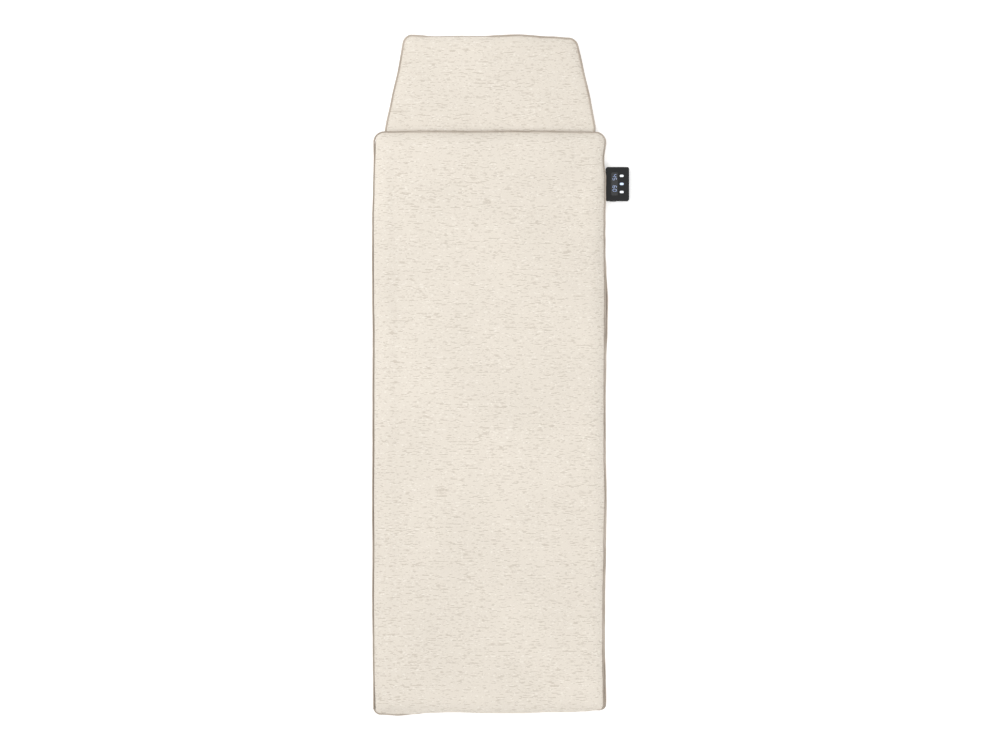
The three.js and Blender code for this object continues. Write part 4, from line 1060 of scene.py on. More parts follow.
def make_mat_quilt():
    """The outer cloth of the mat and the headrest, one form across the fold."""
    sewn = rounded(MAT_CORNERS, MAT_SEWN)
    low, high = sewn[:, 1].min(), sewn[:, 1].max()
    rows = row_places(low, high, 0.018, 0.026, 9 * MM)
    plan = plan_grid(sewn, rows, column_places(first=5 * MM, growth=1.25, widest=18 * MM))
    flat = plan.reshape(-1, 2)
    distance = edge_distance(flat, sewn)
    moved = stray(flat, of_cover=False)
    foot_tuck = eased(flat[:, 0], FOOT_TUCK) * near_foot(flat, 0.07)
    moved[:, 1] += foot_tuck * COVER_TUCK
    head_tuck = eased(flat[:, 0], HEAD_TUCK) * near_head(flat, 0.07)
    over = moved.copy()
    over[:, 1] += head_tuck * pillow_side(distance, HEADREST_TUCK, 6.0 * MM)
    under_plan = moved.copy()
    under_plan[:, 1] -= head_tuck * HEADREST_TUCK * unit(1 - distance / (6 * MM))
    cord_z = mat_cord_height(flat)
    head = unit((flat[:, 1] - 0.93) / 0.06)
    shape = bulge(distance, MAT_TOP_ROUNDING)
    top = MAT_TOP - 0.6 * MM + head * 3.5 * MM * bulge(distance, HEADREST_ROUNDING)
    top = cord_z + (top - cord_z) * shape
    top += head * soft_relief(flat[:, 0], flat[:, 1], 23, 0.8 * MM) * unit(distance / 0.05)
    under = cord_z * (1 - bulge(distance, MAT_UNDER_ROUNDING)) + 0.15 * MM
    size = plan.shape[:2] + (3,)
    upper = np.column_stack([over, top]).reshape(size)
    lower = np.column_stack([under_plan, under]).reshape(size)
    edge = distance.reshape(plan.shape[:2])
    on_base = 1 - head.reshape(plan.shape[:2])
    free = 1 - on_base
    held = np.maximum(hold(edge, 0.06), on_base * 0.9)
    shift = swelling(upper, held, unit(1 - edge / 0.06) * free, 2.0, 18, HEADREST_SWELL_LIMIT)
    upper = upper + shift * free[:, :, None]
    piece = closed_pad("mat_quilt", finer(upper), finer(lower))
    add_cloth_map(piece, sewn, lambda d: 6 * MM * unit(1 - d / MAT_UNDER_ROUNDING) ** 2)
    assign(piece, CREAM)
    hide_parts("base_outer_fabric", "headrest_bottom_fabric", "headrest_top_fabric")
    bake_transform(piece)
    return piece


# ---------------------------------------------------------------- cords sewn into the seams
def make_mat_cording():
    """The cord round the mat and the headrest."""
    line = rounded(MAT_CORNERS, CORD_INSET, 5 * MM)
    moved = stray(line, of_cover=False)
    moved[:, 1] += eased(line[:, 0], FOOT_TUCK) * near_foot(line, 0.02) * COVER_TUCK
    moved[:, 1] -= eased(line[:, 0], HEAD_TUCK) * near_head(line, 0.02) * HEADREST_TUCK
    height = mat_cord_height(line) + 0.25 * MM * wander(line[:, 1] * 1.3 + line[:, 0], 5, 0.2)
    piece = cord_tube("mat_cording", np.column_stack([moved, height]), CORD_RADIUS, closed=True, wobble=0.02, seed=2)
    assign(piece, CORDING)
    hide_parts("base_piping", "headrest_piping")
    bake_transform(piece)


def make_cover_cording():
    """The cover's cord runs from the side seam round the foot, the right edge and the mouth, back to the seam."""
    line = rounded(COVER_CORNERS, CORD_INSET, 5 * MM)
    on_seam = line[:, 0] < HINGE_X + 0.2 * MM
    first = np.nonzero(~on_seam & np.roll(on_seam, 1))[0][0]
    line = np.roll(line, -first, axis=0)
    line = line[:np.nonzero(line[:, 0] < HINGE_X + 0.2 * MM)[0][0]]
    moved = stray(line, of_cover=True)
    moved[:, 1] += eased(line[:, 0], FOOT_TUCK) * near_foot(line, 0.02) * COVER_TUCK
    rise = smooth(unit((line[:, 0] - HINGE_X) / (12 * MM)))
    at_mouth = unit((line[:, 1] - (MOUTH_Y - 0.03)) / 0.03)
    height = HINGE_Z + (COVER_CORD_Z - HINGE_Z + 0.4 * MM * at_mouth) * rise
    height += rise * 0.25 * MM * wander(line[:, 0] * 1.1 - line[:, 1], 9, 0.2)
    path = np.column_stack([moved, height])
    piece = cord_tube("cover_cording", path, CORD_RADIUS, wobble=0.02, seed=4)
    assign(piece, CORDING)
    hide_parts("cover_piping")
    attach(piece, "cover")
    return path


def make_seam_cording(ends):
    """The cord on the fold line, between the two ends of the cover cord."""
    y = np.linspace(ends[0], ends[1], 340)
    path = np.column_stack([HINGE_X - eased(y, LEFT_EDGE) * MM, y, np.full_like(y, HINGE_Z)])
    piece = cord_tube("side_seam_cording", path, CORD_RADIUS, wobble=0.02, seed=6)
    assign(piece, CORDING)
    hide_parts("side_seam_piping")
    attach(piece, "base")


# ---------------------------------------------------------------- layers inside the mat and the cover
def follow_sewing(piece, of_cover):
    """Moves a finished inner piece as the sewn edges round it stray, so that it stays inside them."""
    mesh = piece.data
    points = np.zeros(len(mesh.vertices) * 3)
    mesh.vertices.foreach_get("co", points)
    points = points.reshape(-1, 3)
    plan = points[:, :2].copy()
    moved = stray(plan, of_cover)
    moved[:, 1] += eased(plan[:, 0], FOOT_TUCK) * near_foot(plan, 0.06) * 5.5 * MM
    points[:, :2] = moved
    mesh.vertices.foreach_set("co", points.ravel())
    mesh.update()


DOCK_LOW, DOCK_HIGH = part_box("dock_housing")
CARRY_ON = FOLD_Y - 4 * MM


def body_outline(corners, inward, notch=False):
    """The outline of an inner layer: the mat stops short of the fold, and may leave room for the dock."""
    line = rounded(corners, inward)
    line[:, 1] = np.minimum(line[:, 1], CARRY_ON - inward)
    if notch:
        beside = (line[:, 0] > 0.3) & (line[:, 1] > DOCK_LOW.y - 3 * MM) & (line[:, 1] < DOCK_HIGH.y + 3 * MM)
        line[beside, 0] = DOCK_LOW.x - 3 * MM
    return line


def layer_pad(name, outline, low_z, high_z, edge_width, relief, seed):
    """A thin pad with soft rounded edges between two heights, following an outline."""
    step = 16 * MM
    rows = row_places(outline[:, 1].min(), outline[:, 1].max(), 0.012, 0.012, step)
    plan = plan_grid(outline, rows, column_places(first=5 * MM, growth=1.4, widest=step * 1.2))
    flat = plan.reshape(-1, 2)
    distance = edge_distance(flat, outline)
    shape = bulge(distance, edge_width)
    middle = (low_z + high_z) / 2
    swell = soft_relief(flat[:, 0], flat[:, 1], seed, relief) * unit(distance / 0.04)
    top = middle + (high_z - middle) * shape + np.minimum(swell, 0)
    bottom = middle - (middle - low_z) * shape + np.maximum(swell, 0)
    size = plan.shape[:2] + (3,)
    upper = np.column_stack([flat, top]).reshape(size)
    lower = np.column_stack([flat, bottom]).reshape(size)
    return closed_pad(name, upper, lower)


def make_inner_layers():
    """The felts, foils, carriers and waddings, in plan inside the sewn edges."""
    plans = (
        # name, what it stands for, outline, mm inside the edge, room for the dock, mm of rounded edge, mm of relief,
        # finish, slot
        ("base_felt", "base_insulation_felt", MAT_CORNERS, 26, True, 9, 0.15, FELT, "felt"),
        ("base_foil", "base_reflective_foil", MAT_CORNERS, 22, True, 1, 0.0, FOIL, "foil"),
        ("base_carrier", "base_heating_carrier", MAT_CORNERS, 17, True, 2, 0.0, CARRIER, "carrier"),
        ("base_wadding", "base_comfort_pad", MAT_CORNERS, 14, False, 4, 0.1, WADDING, "felt"),
        ("cover_wadding", "cover_comfort_pad", COVER_CORNERS, 14, False, 4, 0.1, WADDING, "felt"),
        ("cover_carrier", "cover_heating_carrier", COVER_CORNERS, 20, False, 2, 0.0, CARRIER, "carrier"),
        ("cover_foil", "cover_reflective_foil", COVER_CORNERS, 22, False, 1, 0.0, FOIL, "foil"),
        ("cover_felt", "cover_insulation_felt", COVER_CORNERS, 26, False, 12, 0.2, FELT, "felt"),
    )
    for number, (name, node, corners, inward, notch, edge, relief, finish, slot) in enumerate(plans):
        low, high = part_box(node)
        outline = body_outline(corners, inward * MM, notch)
        piece = layer_pad(name, outline, low.z, high.z, edge * MM, relief * MM, 40 + number)
        follow_sewing(piece, node.startswith("cover"))
        assign(piece, finish)
        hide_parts(node)
        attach(piece, "base" if node.startswith("base") else "cover")
    low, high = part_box("headrest_wadding")
    outline = rounded([(-0.318, FOLD_Y + 20 * MM, 20 * MM), (0.318, FOLD_Y + 20 * MM, 20 * MM),
                       (0.2705, HEAD_Y, 30 * MM), (-0.2705, HEAD_Y, 30 * MM)], 14 * MM)
    piece = layer_pad("headrest_filling", outline, low.z + 1 * MM, high.z + 1 * MM, 12 * MM, 0.4 * MM, 61)
    follow_sewing(piece, False)
    assign(piece, WADDING)
    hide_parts("headrest_wadding")
    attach(piece, "headrest")


# ---------------------------------------------------------------- linings, quilted in lengthwise channels
CHANNELS = np.linspace(-0.300, 0.300, 8)
CHANNEL_SPACING = CHANNELS[1] - CHANNELS[0]
LINING_INSET = 9 * MM
CHANNEL_CREST = 2.1 * MM
# face, back and the channels' mouth end: the mat's lining looks up, the cover's looks down
LINING_TOP, LINING_BACK, BASE_CHANNEL_END = 19.75 * MM, 18.55 * MM, 0.850
COVER_LINING_FACE, COVER_LINING_BACK, COVER_CHANNEL_END = 25.55 * MM, 26.8 * MM, 0.845


def channel_height(x, y, far_end):
    """0 at the channel seams and outside them, 1 along each channel's middle; the channels die away at the ends."""
    inside = (x > CHANNELS[0]) & (x < CHANNELS[-1])
    wave = np.abs(np.sin((x - CHANNELS[0]) / CHANNEL_SPACING * math.pi)) ** 0.6
    ends = unit((y + 0.850) / 0.05) * unit((far_end - y) / 0.05)
    return np.where(inside, wave, 0.0) * np.sqrt(ends)


def lining_columns():
    """Columns that fall on the channel seams and crowd towards them."""
    half = HALF_WIDTH - LINING_INSET
    places = [-half, -half + 4 * MM, -0.335, -0.318]
    for a, b in zip(CHANNELS[:-1], CHANNELS[1:]):
        places += [a + (b - a) * t for t in (0.0, 0.04, 0.12, 0.25, 0.4, 0.6, 0.75, 0.88, 0.96)]
    places += [CHANNELS[-1], 0.318, 0.335, half - 4 * MM, half]
    return np.array(places) / half


def make_lining(name, node, corners, body, facing, flat_z, back_z, far_end, seed):
    """One lining: a flat back, and a face that swells between the channel seams. facing is 1 up, -1 down."""
    outline = body_outline(corners, LINING_INSET)
    rows = row_places(outline[:, 1].min(), outline[:, 1].max(), 0.012, 0.012, 9 * MM)
    plan = plan_grid(outline, rows, lining_columns())
    flat = plan.reshape(-1, 2)
    distance = edge_distance(flat, outline)
    x, y = flat[:, 0], flat[:, 1]
    pucker = 1 + 0.16 * wander(y * 3.1 + np.floor((x - CHANNELS[0]) / CHANNEL_SPACING) * 7.7, seed, 0.06)
    face = flat_z + facing * CHANNEL_CREST * channel_height(x, y, far_end) * np.clip(pucker, 0.6, 1.25) / 1.25
    soft = bulge(distance, 2.5 * MM)
    middle = (flat_z + back_z) / 2
    face, back = middle + (face - middle) * soft, middle + (back_z - middle) * soft
    size = plan.shape[:2] + (3,)
    grids = [np.column_stack([flat, z]).reshape(size) for z in (face, back)]
    upper, lower = grids if facing > 0 else grids[::-1]
    piece = closed_pad(name, upper, lower)
    follow_sewing(piece, body == "cover")
    assign(piece, LINING)
    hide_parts(node)
    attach(piece, body)


def wipeable_lining():
    """Coated lining cloth: a fine rib, a soft gloss, slow cloudy creasing, and painted shade along the channel seams.
    """
    material, w, shader = new_material("wipeable_lining", Coat_Weight=0.12, Coat_Roughness=0.4)
    place = w.place()
    x, y, _ = w.split(place)
    rib = w.math("MULTIPLY", w.math("SINE", w.math("MULTIPLY", x, math.tau / (0.9 * MM))),
                 w.math("SINE", w.math("MULTIPLY", y, math.tau / (0.9 * MM))))
    crease = w.noise(w.vector("MULTIPLY", place, (60.0, 22.0, 60.0)), 1.0, 4.0, 0.55)
    cloud = w.noise(place, 6.0, 3.0)
    colour = w.mix(cloud, rgb(176, 164, 150), rgb(192, 181, 167))
    from_seam = w.math("PINGPONG", w.math("SUBTRACT", x, CHANNELS[0]), CHANNEL_SPACING / 2)
    within = w.math("LESS_THAN", w.math("ABSOLUTE", x), CHANNELS[-1] + 4 * MM)
    # A mask within 9 mm of each channel seam: it darkens the colour there as painted shade, and it puckers the relief.
    seam_pucker_and_shade = w.math("MULTIPLY", w.between(from_seam, 0.8 * MM, 9 * MM, 1.0, 0.0), within)
    pulled = w.noise(w.combine(w.math("MULTIPLY", x, 30.0), w.math("MULTIPLY", y, 190.0)), 1.0, 2.0, dimensions="2D")
    # Painted shade: the colour is darkened beside each channel seam, where the quilted face dips.
    colour = w.mix(w.math("MULTIPLY", seam_pucker_and_shade, 0.35), colour, rgb(138, 126, 113))
    tone = w.between(crease, 0.3, 0.7, 0.95, 1.04)
    w.join(w.shade(colour, tone), shader.inputs["Base Color"])
    w.join(w.between(crease, 0.3, 0.7, 0.42, 0.58), shader.inputs["Roughness"])
    relief = w.math("ADD", crease, w.math("MULTIPLY", w.math("MULTIPLY", pulled, seam_pucker_and_shade), 1.6))
    w.join(w.bump(relief, 0.4, 1.2 * MM, w.bump(rib, 0.35, 0.08 * MM)), shader.inputs["Normal"])
    return material


LINING = wipeable_lining()


# ---------------------------------------------------------------- flexible fold tape down the left side
def make_fold_tape():
    """A tape doubled into a C behind the seam cord, one leg sewn to the mat and one to the cover."""
    low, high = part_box("side_fold_tape")
    half_thick = 0.35 * MM
    base_z, cover_z = 20.45 * MM, 24.85 * MM  # the middles of its two legs
    bend_x = low.x + 2.3 * MM
    bend_reach = 1.7 * MM
    profile = [(high.x - step, base_z) for step in np.linspace(0, high.x - bend_x, 6)]
    turn = (cover_z - base_z) / 2
    for angle in np.linspace(math.pi / 2, -math.pi / 2, 13)[1:-1]:
        profile.append((bend_x - bend_reach * math.cos(angle), (base_z + cover_z) / 2 - turn * math.sin(angle)))
    profile += [(bend_x + step, cover_z) for step in np.linspace(0, high.x - bend_x, 6)]
    profile = np.array(profile)
    along = np.gradient(profile, axis=0)
    along /= np.linalg.norm(along, axis=1)[:, None]
    out = np.column_stack([-along[:, 1], along[:, 0]])
    ring = np.vstack([profile + out * half_thick, (profile - out * half_thick)[::-1]])
    rows = np.linspace(low.y, high.y, 176)
    count = len(ring)
    vertices = [(x, y, z) for y in rows for x, z in ring]
    faces = []
    for i in range(len(rows) - 1):
        for k in range(count):
            m = (k + 1) % count
            faces.append((i * count + k, i * count + m, (i + 1) * count + m, (i + 1) * count + k))
    last = (len(rows) - 1) * count
    pairs = count // 2
    for k in range(pairs - 1):
        faces.append((k, k + 1, count - 2 - k, count - 1 - k))
        faces.append((last + k, last + count - 1 - k, last + count - 2 - k, last + k + 1))
    piece = mesh_from("side_fold_webbing", vertices, faces)
    turn_outward(piece, weld=1e-7)
    piece.data.shade_smooth()
    assign(piece, WEBBING)
    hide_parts("side_fold_tape")
    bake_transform(piece)


WEBBING = woven_carrier("fold_webbing", rgb(190, 178, 164), rgb(164, 152, 138), 1.6 * MM)
HOOK_CLOTH = woven_carrier("hook_backing", rgb(178, 166, 152), rgb(150, 139, 126), 1.2 * MM)
HOOK_NYLON = grained_material("hook_nylon", rgb(206, 196, 182), 0.45, scale=3000.0)
LOOP_NYLON = grained_material("loop_nylon", rgb(196, 185, 170), 0.85, scale=3000.0)
STITCH_THREAD = grained_material("stitch_thread", rgb(206, 194, 178), 0.75, scale=4200.0)


# ---------------------------------------------------------------- node trees for what repeats
class TreeMaker:
    """A geometry tree with named inputs, and short calls to add and join its nodes."""

    def __init__(self, name, inputs):
        self.tree = bpy.data.node_groups.new(name, "GeometryNodeTree")
        self.tree.interface.new_socket("Geometry", in_out="INPUT", socket_type="NodeSocketGeometry")
        self.ids = {}
        for socket, kind in inputs:
            made = self.tree.interface.new_socket(socket, in_out="INPUT", socket_type="NodeSocket" + kind)
            self.ids[socket] = made.identifier
        self.tree.interface.new_socket("Geometry", in_out="OUTPUT", socket_type="NodeSocketGeometry")
        self.start = self.tree.nodes.new("NodeGroupInput")
        self.end = self.tree.nodes.new("NodeGroupOutput")

    def node(self, kind, sockets=None, **settings):
        """A node with its settings, its sockets given values or joined to other nodes' sockets."""
        made = self.tree.nodes.new(kind)
        for key, value in settings.items():
            setattr(made, key, value)
        for key, value in (sockets or {}).items():
            if isinstance(value, bpy.types.NodeSocket):
                self.tree.links.new(value, made.inputs[key])
            else:
                made.inputs[key].default_value = value
        return made

    def finish(self, geometry, material):
        """Gives the geometry the material and makes it what the tree returns."""
        painted = self.node("GeometryNodeSetMaterial", {"Geometry": geometry, "Material": material})
        self.tree.links.new(painted.outputs["Geometry"], self.end.inputs["Geometry"])

    def run(self, source, name, **values):
        """Gives the source the tree, sets its inputs, and returns the result as a plain mesh piece."""
        modifier = source.modifiers.new("repeat", "NODES")
        modifier.node_group = self.tree
        for key, value in values.items():
            modifier[self.ids[key.replace("_", " ")]] = value
        bpy.context.view_layer.update()
        finished = source.evaluated_get(bpy.context.evaluated_depsgraph_get())
        mesh = bpy.data.meshes.new_from_object(finished)
        source.modifiers.remove(modifier)
        discard(source)
        mesh.name = name
        return link(name, mesh)


def stitch_tree():
    """Small rounded stitches laid end to end with gaps along every edge of the source."""
    maker = TreeMaker("lockstitch_row", [("Spacing", "Float"), ("Stitch Length", "Float"), ("Thickness", "Float"),
                                         ("Thread", "Material")])
    given = maker.start.outputs
    curve = maker.node("GeometryNodeMeshToCurve", {"Mesh": given["Geometry"]})
    resampled = maker.node("GeometryNodeResampleCurve", {"Curve": curve.outputs["Curve"], "Length": given["Spacing"]},
                           mode="LENGTH")
    bead = maker.node("GeometryNodeMeshUVSphere", {"Segments": 5, "Rings": 4, "Radius": 0.5})
    size = maker.node("ShaderNodeCombineXYZ",
                      {0: given["Thickness"], 1: given["Thickness"], 2: given["Stitch Length"]})
    shaped = maker.node("GeometryNodeTransform", {"Geometry": bead.outputs["Mesh"], "Scale": size.outputs[0]})
    tangent = maker.node("GeometryNodeInputTangent")
    turned = maker.node("FunctionNodeAlignRotationToVector", {"Vector": tangent.outputs[0]}, axis="Z")
    placed = maker.node("GeometryNodeInstanceOnPoints", {
        "Points": resampled.outputs["Curve"], "Instance": shaped.outputs["Geometry"],
        "Rotation": turned.outputs["Rotation"]})
    real = maker.node("GeometryNodeRealizeInstances", {"Geometry": placed.outputs["Instances"]})
    rounded_look = maker.node("GeometryNodeSetShadeSmooth", {"Geometry": real.outputs["Geometry"]})
    maker.finish(rounded_look.outputs["Geometry"], given["Thread"])
    return maker


def hook_tree():
    """Rows of small bent nylon hooks over a strip, each turned a little its own way."""
    maker = TreeMaker("hook_field", [("Spacing", "Float"), ("Hook Height", "Float"), ("Thread", "Float"),
                                     ("Seed", "Int"), ("Nylon", "Material")])
    given = maker.start.outputs
    points = maker.node("GeometryNodeMeshToPoints", {"Mesh": given["Geometry"]})
    reach = maker.node("ShaderNodeMath", {0: given["Spacing"], 1: 0.22}, operation="MULTIPLY")
    minus = maker.node("ShaderNodeMath", {0: reach.outputs[0], 1: -1}, operation="MULTIPLY")
    least, most = [maker.node("ShaderNodeCombineXYZ", {0: end.outputs[0], 1: end.outputs[0]}).outputs[0]
                   for end in (minus, reach)]
    shift = maker.node("FunctionNodeRandomValue", {0: least, 1: most, "Seed": given["Seed"]},
                       data_type="FLOAT_VECTOR")
    moved = maker.node("GeometryNodeSetPosition", {"Geometry": points.outputs["Points"], "Offset": shift.outputs[0]})
    radius = maker.node("ShaderNodeMath", {0: given["Hook Height"], 1: 0.5}, operation="MULTIPLY")
    arc = maker.node("GeometryNodeCurveArc", {"Resolution": 5, "Start Angle": 0.0, "Sweep Angle": math.radians(215),
                                              "Radius": radius.outputs[0]})
    upright = maker.node("GeometryNodeTransform", {"Geometry": arc.outputs["Curve"], "Rotation": (math.pi / 2, 0, 0)})
    ring = maker.node("GeometryNodeCurvePrimitiveCircle", {"Resolution": 3, "Radius": given["Thread"]})
    hook = maker.node("GeometryNodeCurveToMesh", {"Curve": upright.outputs["Geometry"],
                                                  "Profile Curve": ring.outputs["Curve"], "Fill Caps": True})
    angle = maker.node("FunctionNodeRandomValue", {2: -0.5, 3: 0.5, "Seed": given["Seed"]}, data_type="FLOAT")
    turn = maker.node("ShaderNodeCombineXYZ", {2: angle.outputs[1]})
    placed = maker.node("GeometryNodeInstanceOnPoints", {
        "Points": moved.outputs["Geometry"], "Instance": hook.outputs["Mesh"], "Rotation": turn.outputs[0]})
    real = maker.node("GeometryNodeRealizeInstances", {"Geometry": placed.outputs["Instances"]})
    maker.finish(real.outputs["Geometry"], given["Nylon"])
    return maker


STITCHES = stitch_tree()
HOOKS = hook_tree()


def line_object(name, lines):
    """Loose edges through each line of points; a closed line repeats its first point."""
    vertices, edges = [], []
    for line in lines:
        first = len(vertices)
        vertices += [tuple(point) for point in line]
        edges += [(first + i, first + i + 1) for i in range(len(line) - 1)]
    mesh = bpy.data.meshes.new(name)
    mesh.from_pydata(vertices, edges, [])
    return link(name, mesh)


def sew(name, lines, spacing=4.6 * MM, length=3.3 * MM, thickness=0.75 * MM):
    """A piece of stitches along lines of points."""
    piece = STITCHES.run(line_object(name + "_path", lines), name, Spacing=spacing, Stitch_Length=length,
                         Thickness=thickness, Thread=STITCH_THREAD)
    return piece


def closed_line(points):
    """A line of points that ends where it begins."""
    return np.vstack([points, points[:1]])


def sew_outside_seams(cover_quilt, mat_quilt):
    """The rows of stitches that hold the cords, just inside them on the cloth."""
    line = rounded(COVER_CORNERS, COVER_SEWN + 3.2 * MM, 4 * MM)
    moved = stray(line, of_cover=True)
    tucked = eased(line[:, 0], FOOT_TUCK) * near_foot(line, 0.02) > 0.3
    top = drop_onto(cover_quilt, moved, 0.05 * MM)
    runs = split_runs(top, ~tucked)
    piece = sew("cover_edge_stitches", runs)
    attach(piece, "cover")
    line = rounded(MAT_CORNERS, MAT_SEWN + 2.6 * MM, 4 * MM)
    moved = stray(line, of_cover=False)
    seen = (line[:, 1] > FOLD_Y + 8 * MM) & (eased(line[:, 0], HEAD_TUCK) * near_head(line, 0.02) < 0.3)
    top = drop_onto(mat_quilt, moved, 0.05 * MM)
    piece = sew("headrest_edge_stitches", split_runs(top, seen))
    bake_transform(piece)


def split_runs(points, wanted):
    """The stretches of a closed line of points where wanted holds."""
    if wanted.all():
        return [closed_line(points)]
    start = np.nonzero(~wanted)[0][0]
    points, wanted = np.roll(points, -start, axis=0), np.roll(wanted, -start)
    runs, current = [], []
    for point, keep in zip(points, wanted):
        if keep:
            current.append(point)
        elif current:
            runs.append(current)
            current = []
    if current:
        runs.append(current)
    return [run for run in runs if len(run) > 1]


def sew_linings():
    """The stitches along the linings' channels and across their mouth ends."""
    for name, body, sign, flat_z, far in (
        ("mat_lining_stitches", "base", 1, LINING_TOP, BASE_CHANNEL_END),
        ("cover_lining_stitches", "cover", -1, COVER_LINING_FACE, COVER_CHANNEL_END),
    ):
        y = np.arange(-0.845, far, 8 * MM)
        z = flat_z + sign * 0.15 * MM
        lines = [np.column_stack([np.full_like(y, x), y, np.full_like(y, z)]) for x in CHANNELS]
        corners = MAT_CORNERS if body == "base" else COVER_CORNERS
        line = body_outline(corners, LINING_INSET + 3 * MM)
        beside_mouth = line[:, 1] > (0.86 if body == "base" else 0.84)
        edge = np.column_stack([line, np.full(len(line), z)])
        lines += split_runs(edge, beside_mouth)
        piece = sew(name, lines, spacing=5.0 * MM, length=3.6 * MM)
        follow_sewing(piece, body == "cover")
        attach(piece, body)


# ---------------------------------------------------------------- hook and loop strips
def make_strip(name, node, facing, backing_heights, field, body):
    """A sewn strip: a thin woven backing with rounded corners, its field of hooks or loops, and its stitches."""
    low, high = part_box(node)
    backing_low, backing_high = backing_heights
    corners = [(x, y, 2 * MM) for x, y in ((low.x, low.y), (high.x, low.y), (high.x, high.y), (low.x, high.y))]
    outline = rounded(corners, 0.0, 3 * MM)
    rows = row_places(low.y, high.y, 2 * MM, 2 * MM, min(12 * MM, (high.y - low.y) / 4))
    plan = plan_grid(outline, rows, column_places(first=2 * MM, growth=1.6, widest=12 * MM, half=(high.x - low.x) / 2))
    flat = plan.reshape(-1, 2)
    soft = bulge(edge_distance(flat, outline), 1.2 * MM)
    middle = (backing_low + backing_high) / 2
    size = plan.shape[:2] + (3,)
    upper = np.column_stack([flat, middle + (backing_high - middle) * soft]).reshape(size)
    lower = np.column_stack([flat, middle - (middle - backing_low) * soft]).reshape(size)
    backing = closed_pad(name + "_backing", upper, lower)
    assign(backing, HOOK_CLOTH)
    spacing, height, thread, nylon = field
    inner_x, inner_y = [np.arange(start + 3.2 * MM, end - 3.0 * MM, spacing)
                        for start, end in ((low.x, high.x), (low.y, high.y))]
    face = backing_high if facing > 0 else backing_low
    points = [(x, y, 0) for x in inner_x for y in inner_y]
    seeds = bpy.data.meshes.new(name + "_seeds")
    seeds.from_pydata(points, [], [])
    source = link(name + "_seeds", seeds)
    hooks = HOOKS.run(source, name + "_field", Spacing=spacing, Hook_Height=height, Thread=thread,
                      Seed=len(name), Nylon=nylon)
    hooks.data.transform(Matrix.Diagonal((1, 1, facing, 1)))
    hooks.data.transform(Matrix.Translation((0, 0, face)))
    if facing < 0:
        hooks.data.flip_normals()
    inset_line = rounded(corners, 1.6 * MM, 3 * MM)
    sewn = sew(name + "_stitches", [closed_line(np.column_stack([inset_line, np.full(len(inset_line), face)]))],
               spacing=3.6 * MM, length=2.6 * MM, thickness=0.6 * MM)
    join_pieces(name, [backing, hooks, sewn], node, body)


def join_pieces(name, pieces, node, body):
    """One piece out of several meshes, each keeping its own finish."""
    bm = bmesh.new()
    finishes = []
    for piece in pieces:
        first = len(finishes)
        finishes += [slot.material for slot in piece.material_slots]
        start = len(bm.faces)
        bm.from_mesh(piece.data)
        bm.faces.ensure_lookup_table()
        for face in bm.faces[start:]:
            face.material_index = min(face.material_index + first, len(finishes) - 1)
    mesh = mesh_of(bm, name)
    mesh.shade_smooth()
    joined = link(name, mesh)
    for finish in finishes:
        joined.data.materials.append(finish)
    for piece in pieces:
        discard(piece)
    follow_sewing(joined, body == "cover")
    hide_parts(node)
    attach(joined, body)


HOOK_BACKING = (19.9 * MM, 21.0 * MM)
LOOP_BACKING = (24.3 * MM, 25.4 * MM)


def make_closures():
    """Each field is given as its spacing, its hooks' or loops' height and thickness, and their nylon."""
    hook_field = (3.4 * MM, 1.1 * MM, 0.17 * MM, HOOK_NYLON)
    loop_field = (3.0 * MM, 0.9 * MM, 0.12 * MM, LOOP_NYLON)
    for part in ("upper", "lower", "foot"):
        make_strip("hook_strip_" + part, "hook_tape_" + part, 1, HOOK_BACKING, hook_field, "base")
        make_strip("loop_strip_" + part, "loop_tape_" + part, -1, LOOP_BACKING, loop_field, "cover")


# ---------------------------------------------------------------- controller
def softened_copy(node, name, width, finish, body="controller", segments=2):
    """A copy of a moulded part with its doubles merged, flat faces joined and hard edges rounded."""
    bm = bmesh.new()
    bm.from_mesh(nodes[node].data)
    bmesh.ops.remove_doubles(bm, verts=bm.verts, dist=2e-6)
    bmesh.ops.dissolve_limit(bm, angle_limit=math.radians(1.5), verts=bm.verts, edges=bm.edges)
    mesh = mesh_of(bm, name)
    mesh.shade_smooth()
    piece = link(name, mesh)
    rounding = piece.modifiers.new("rounding", "BEVEL")
    rounding.width = width
    rounding.segments = segments
    rounding.limit_method = "ANGLE"
    rounding.angle_limit = math.radians(35)
    rounding.use_clamp_overlap = True
    weighted = piece.modifiers.new("flat_faces_first", "WEIGHTED_NORMAL")
    weighted.weight = 80
    weighted.keep_sharp = True
    bpy.context.view_layer.update()
    finished = bpy.data.meshes.new_from_object(piece.evaluated_get(bpy.context.evaluated_depsgraph_get()))
    piece.modifiers.clear()
    piece.data = finished
    assign(piece, finish)
    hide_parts(node)
    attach(piece, body)


SEGMENTS = {"0": "abcdef", "4": "fgbc", "5": "afgcd", "6": "afgedc"}


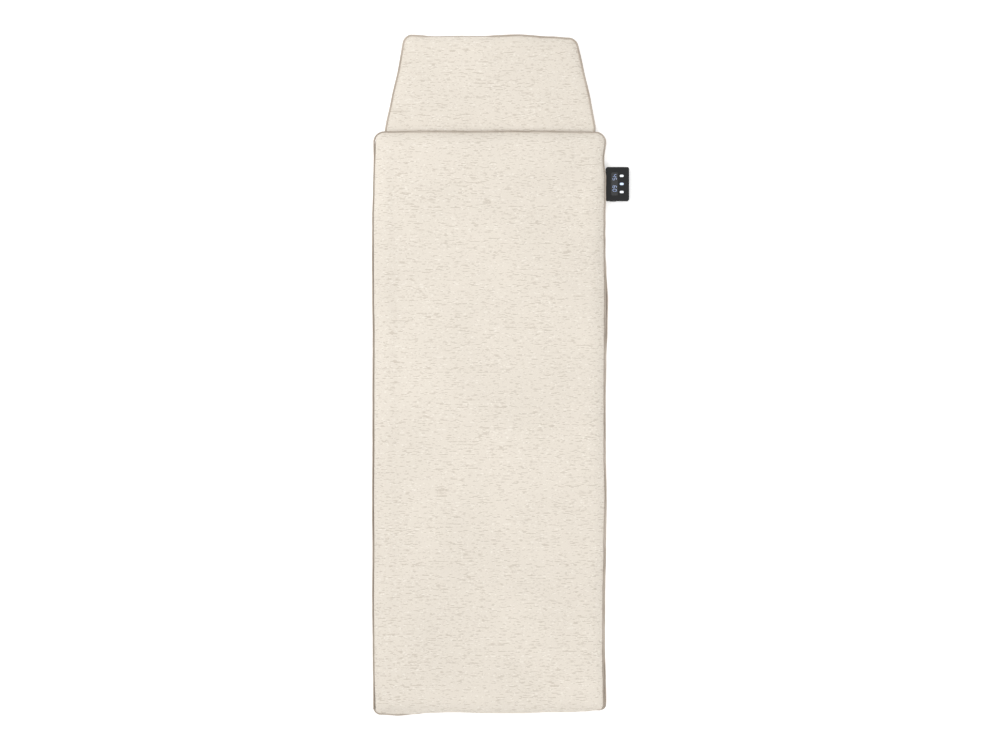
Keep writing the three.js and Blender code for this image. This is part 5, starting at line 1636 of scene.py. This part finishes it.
def make_digits():
    """Two lit numbers on the window: minutes and degrees, as plain bars, read from the controller's outer side."""
    low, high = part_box("controller_window")
    middle_x, top_z = (low.x + high.x) / 2, high.z
    tall, wide, bar, gap = 11.0 * MM, 6.4 * MM, 0.95 * MM, 0.35 * MM
    sunk, proud = -0.1 * MM, 0.06 * MM  # each bar's underside and face, from the window's face
    bars = {
        "a": (0, tall / 2, wide, bar), "g": (0, 0, wide, bar), "d": (0, -tall / 2, wide, bar),
        "f": (-wide / 2, tall / 4, bar, tall / 2), "b": (wide / 2, tall / 4, bar, tall / 2),
        "e": (-wide / 2, -tall / 4, bar, tall / 2), "c": (wide / 2, -tall / 4, bar, tall / 2),
    }
    bm = bmesh.new()
    for digit, along in (("4", -26), ("5", -15.5), ("6", 9), ("0", 19.5)):
        for segment in SEGMENTS[digit]:
            across, up, w_bar, h_bar = bars[segment]
            long_way = max(w_bar, h_bar) / 2 - gap
            half = bar / 2
            tip = [(-long_way, 0), (-long_way + half, -half), (long_way - half, -half), (long_way, 0),
                   (long_way - half, half), (-long_way + half, half)]
            corners = []
            for a, b in tip:
                across_part, up_part = (a, b) if w_bar > h_bar else (b, a)
                reading = along * MM + across + across_part
                corners.append((middle_x + up + up_part, (low.y + high.y) / 2 - reading))
            if w_bar <= h_bar:
                corners.reverse()
            loops = [[bm.verts.new((x, y, top_z + z)) for x, y in corners] for z in (sunk, proud)]
            count = len(corners)
            bm.faces.new(loops[1])
            bm.faces.new(loops[0][::-1])
            for i in range(count):
                j = (i + 1) % count
                bm.faces.new((loops[0][i], loops[0][j], loops[1][j], loops[1][i]))
    bmesh.ops.recalc_face_normals(bm, faces=bm.faces)
    piece = link("lit_digits", mesh_of(bm, "lit_digits"))
    assign(piece, DIGIT_LIGHT)
    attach(piece, "controller")


def make_controller():
    """The casings, window, keys and screws, and the lit numbers."""
    softened_copy("controller_top_shell", "upper_casing", 0.55 * MM, CASING)
    softened_copy("controller_bottom_shell", "lower_casing", 0.45 * MM, CASING)
    softened_copy("controller_window", "display_window", 0.3 * MM, WINDOW)
    for button, cap, finish in (("power_button", "power_key", KEY_LIGHT), ("timer_button", "timer_key", KEY_LIGHT),
                                ("temperature_button", "temperature_key", KEY_LIGHT_BLUE)):
        softened_copy(button, cap, 0.35 * MM, finish, body=button)
    make_digits()
    for number in range(1, 5):
        softened_copy("controller_screw_%d" % number, "casing_screw_%d" % number, 0.12 * MM, STEEL, segments=1)


cover_quilt = make_cover_quilt()
mat_quilt = make_mat_quilt()
make_mat_cording()
cover_cord_path = make_cover_cording()
make_seam_cording((cover_cord_path[0][1] - 1 * MM, cover_cord_path[-1][1] + 1 * MM))
make_inner_layers()
make_lining("mat_lining", "base_inner_lining", MAT_CORNERS, "base", 1, LINING_TOP, LINING_BACK, BASE_CHANNEL_END, 71)
make_lining("cover_lining", "cover_inner_lining", COVER_CORNERS, "cover", -1, COVER_LINING_FACE, COVER_LINING_BACK,
            COVER_CHANNEL_END, 83)
sew_linings()
make_fold_tape()
make_closures()
sew_outside_seams(cover_quilt, mat_quilt)
make_controller()
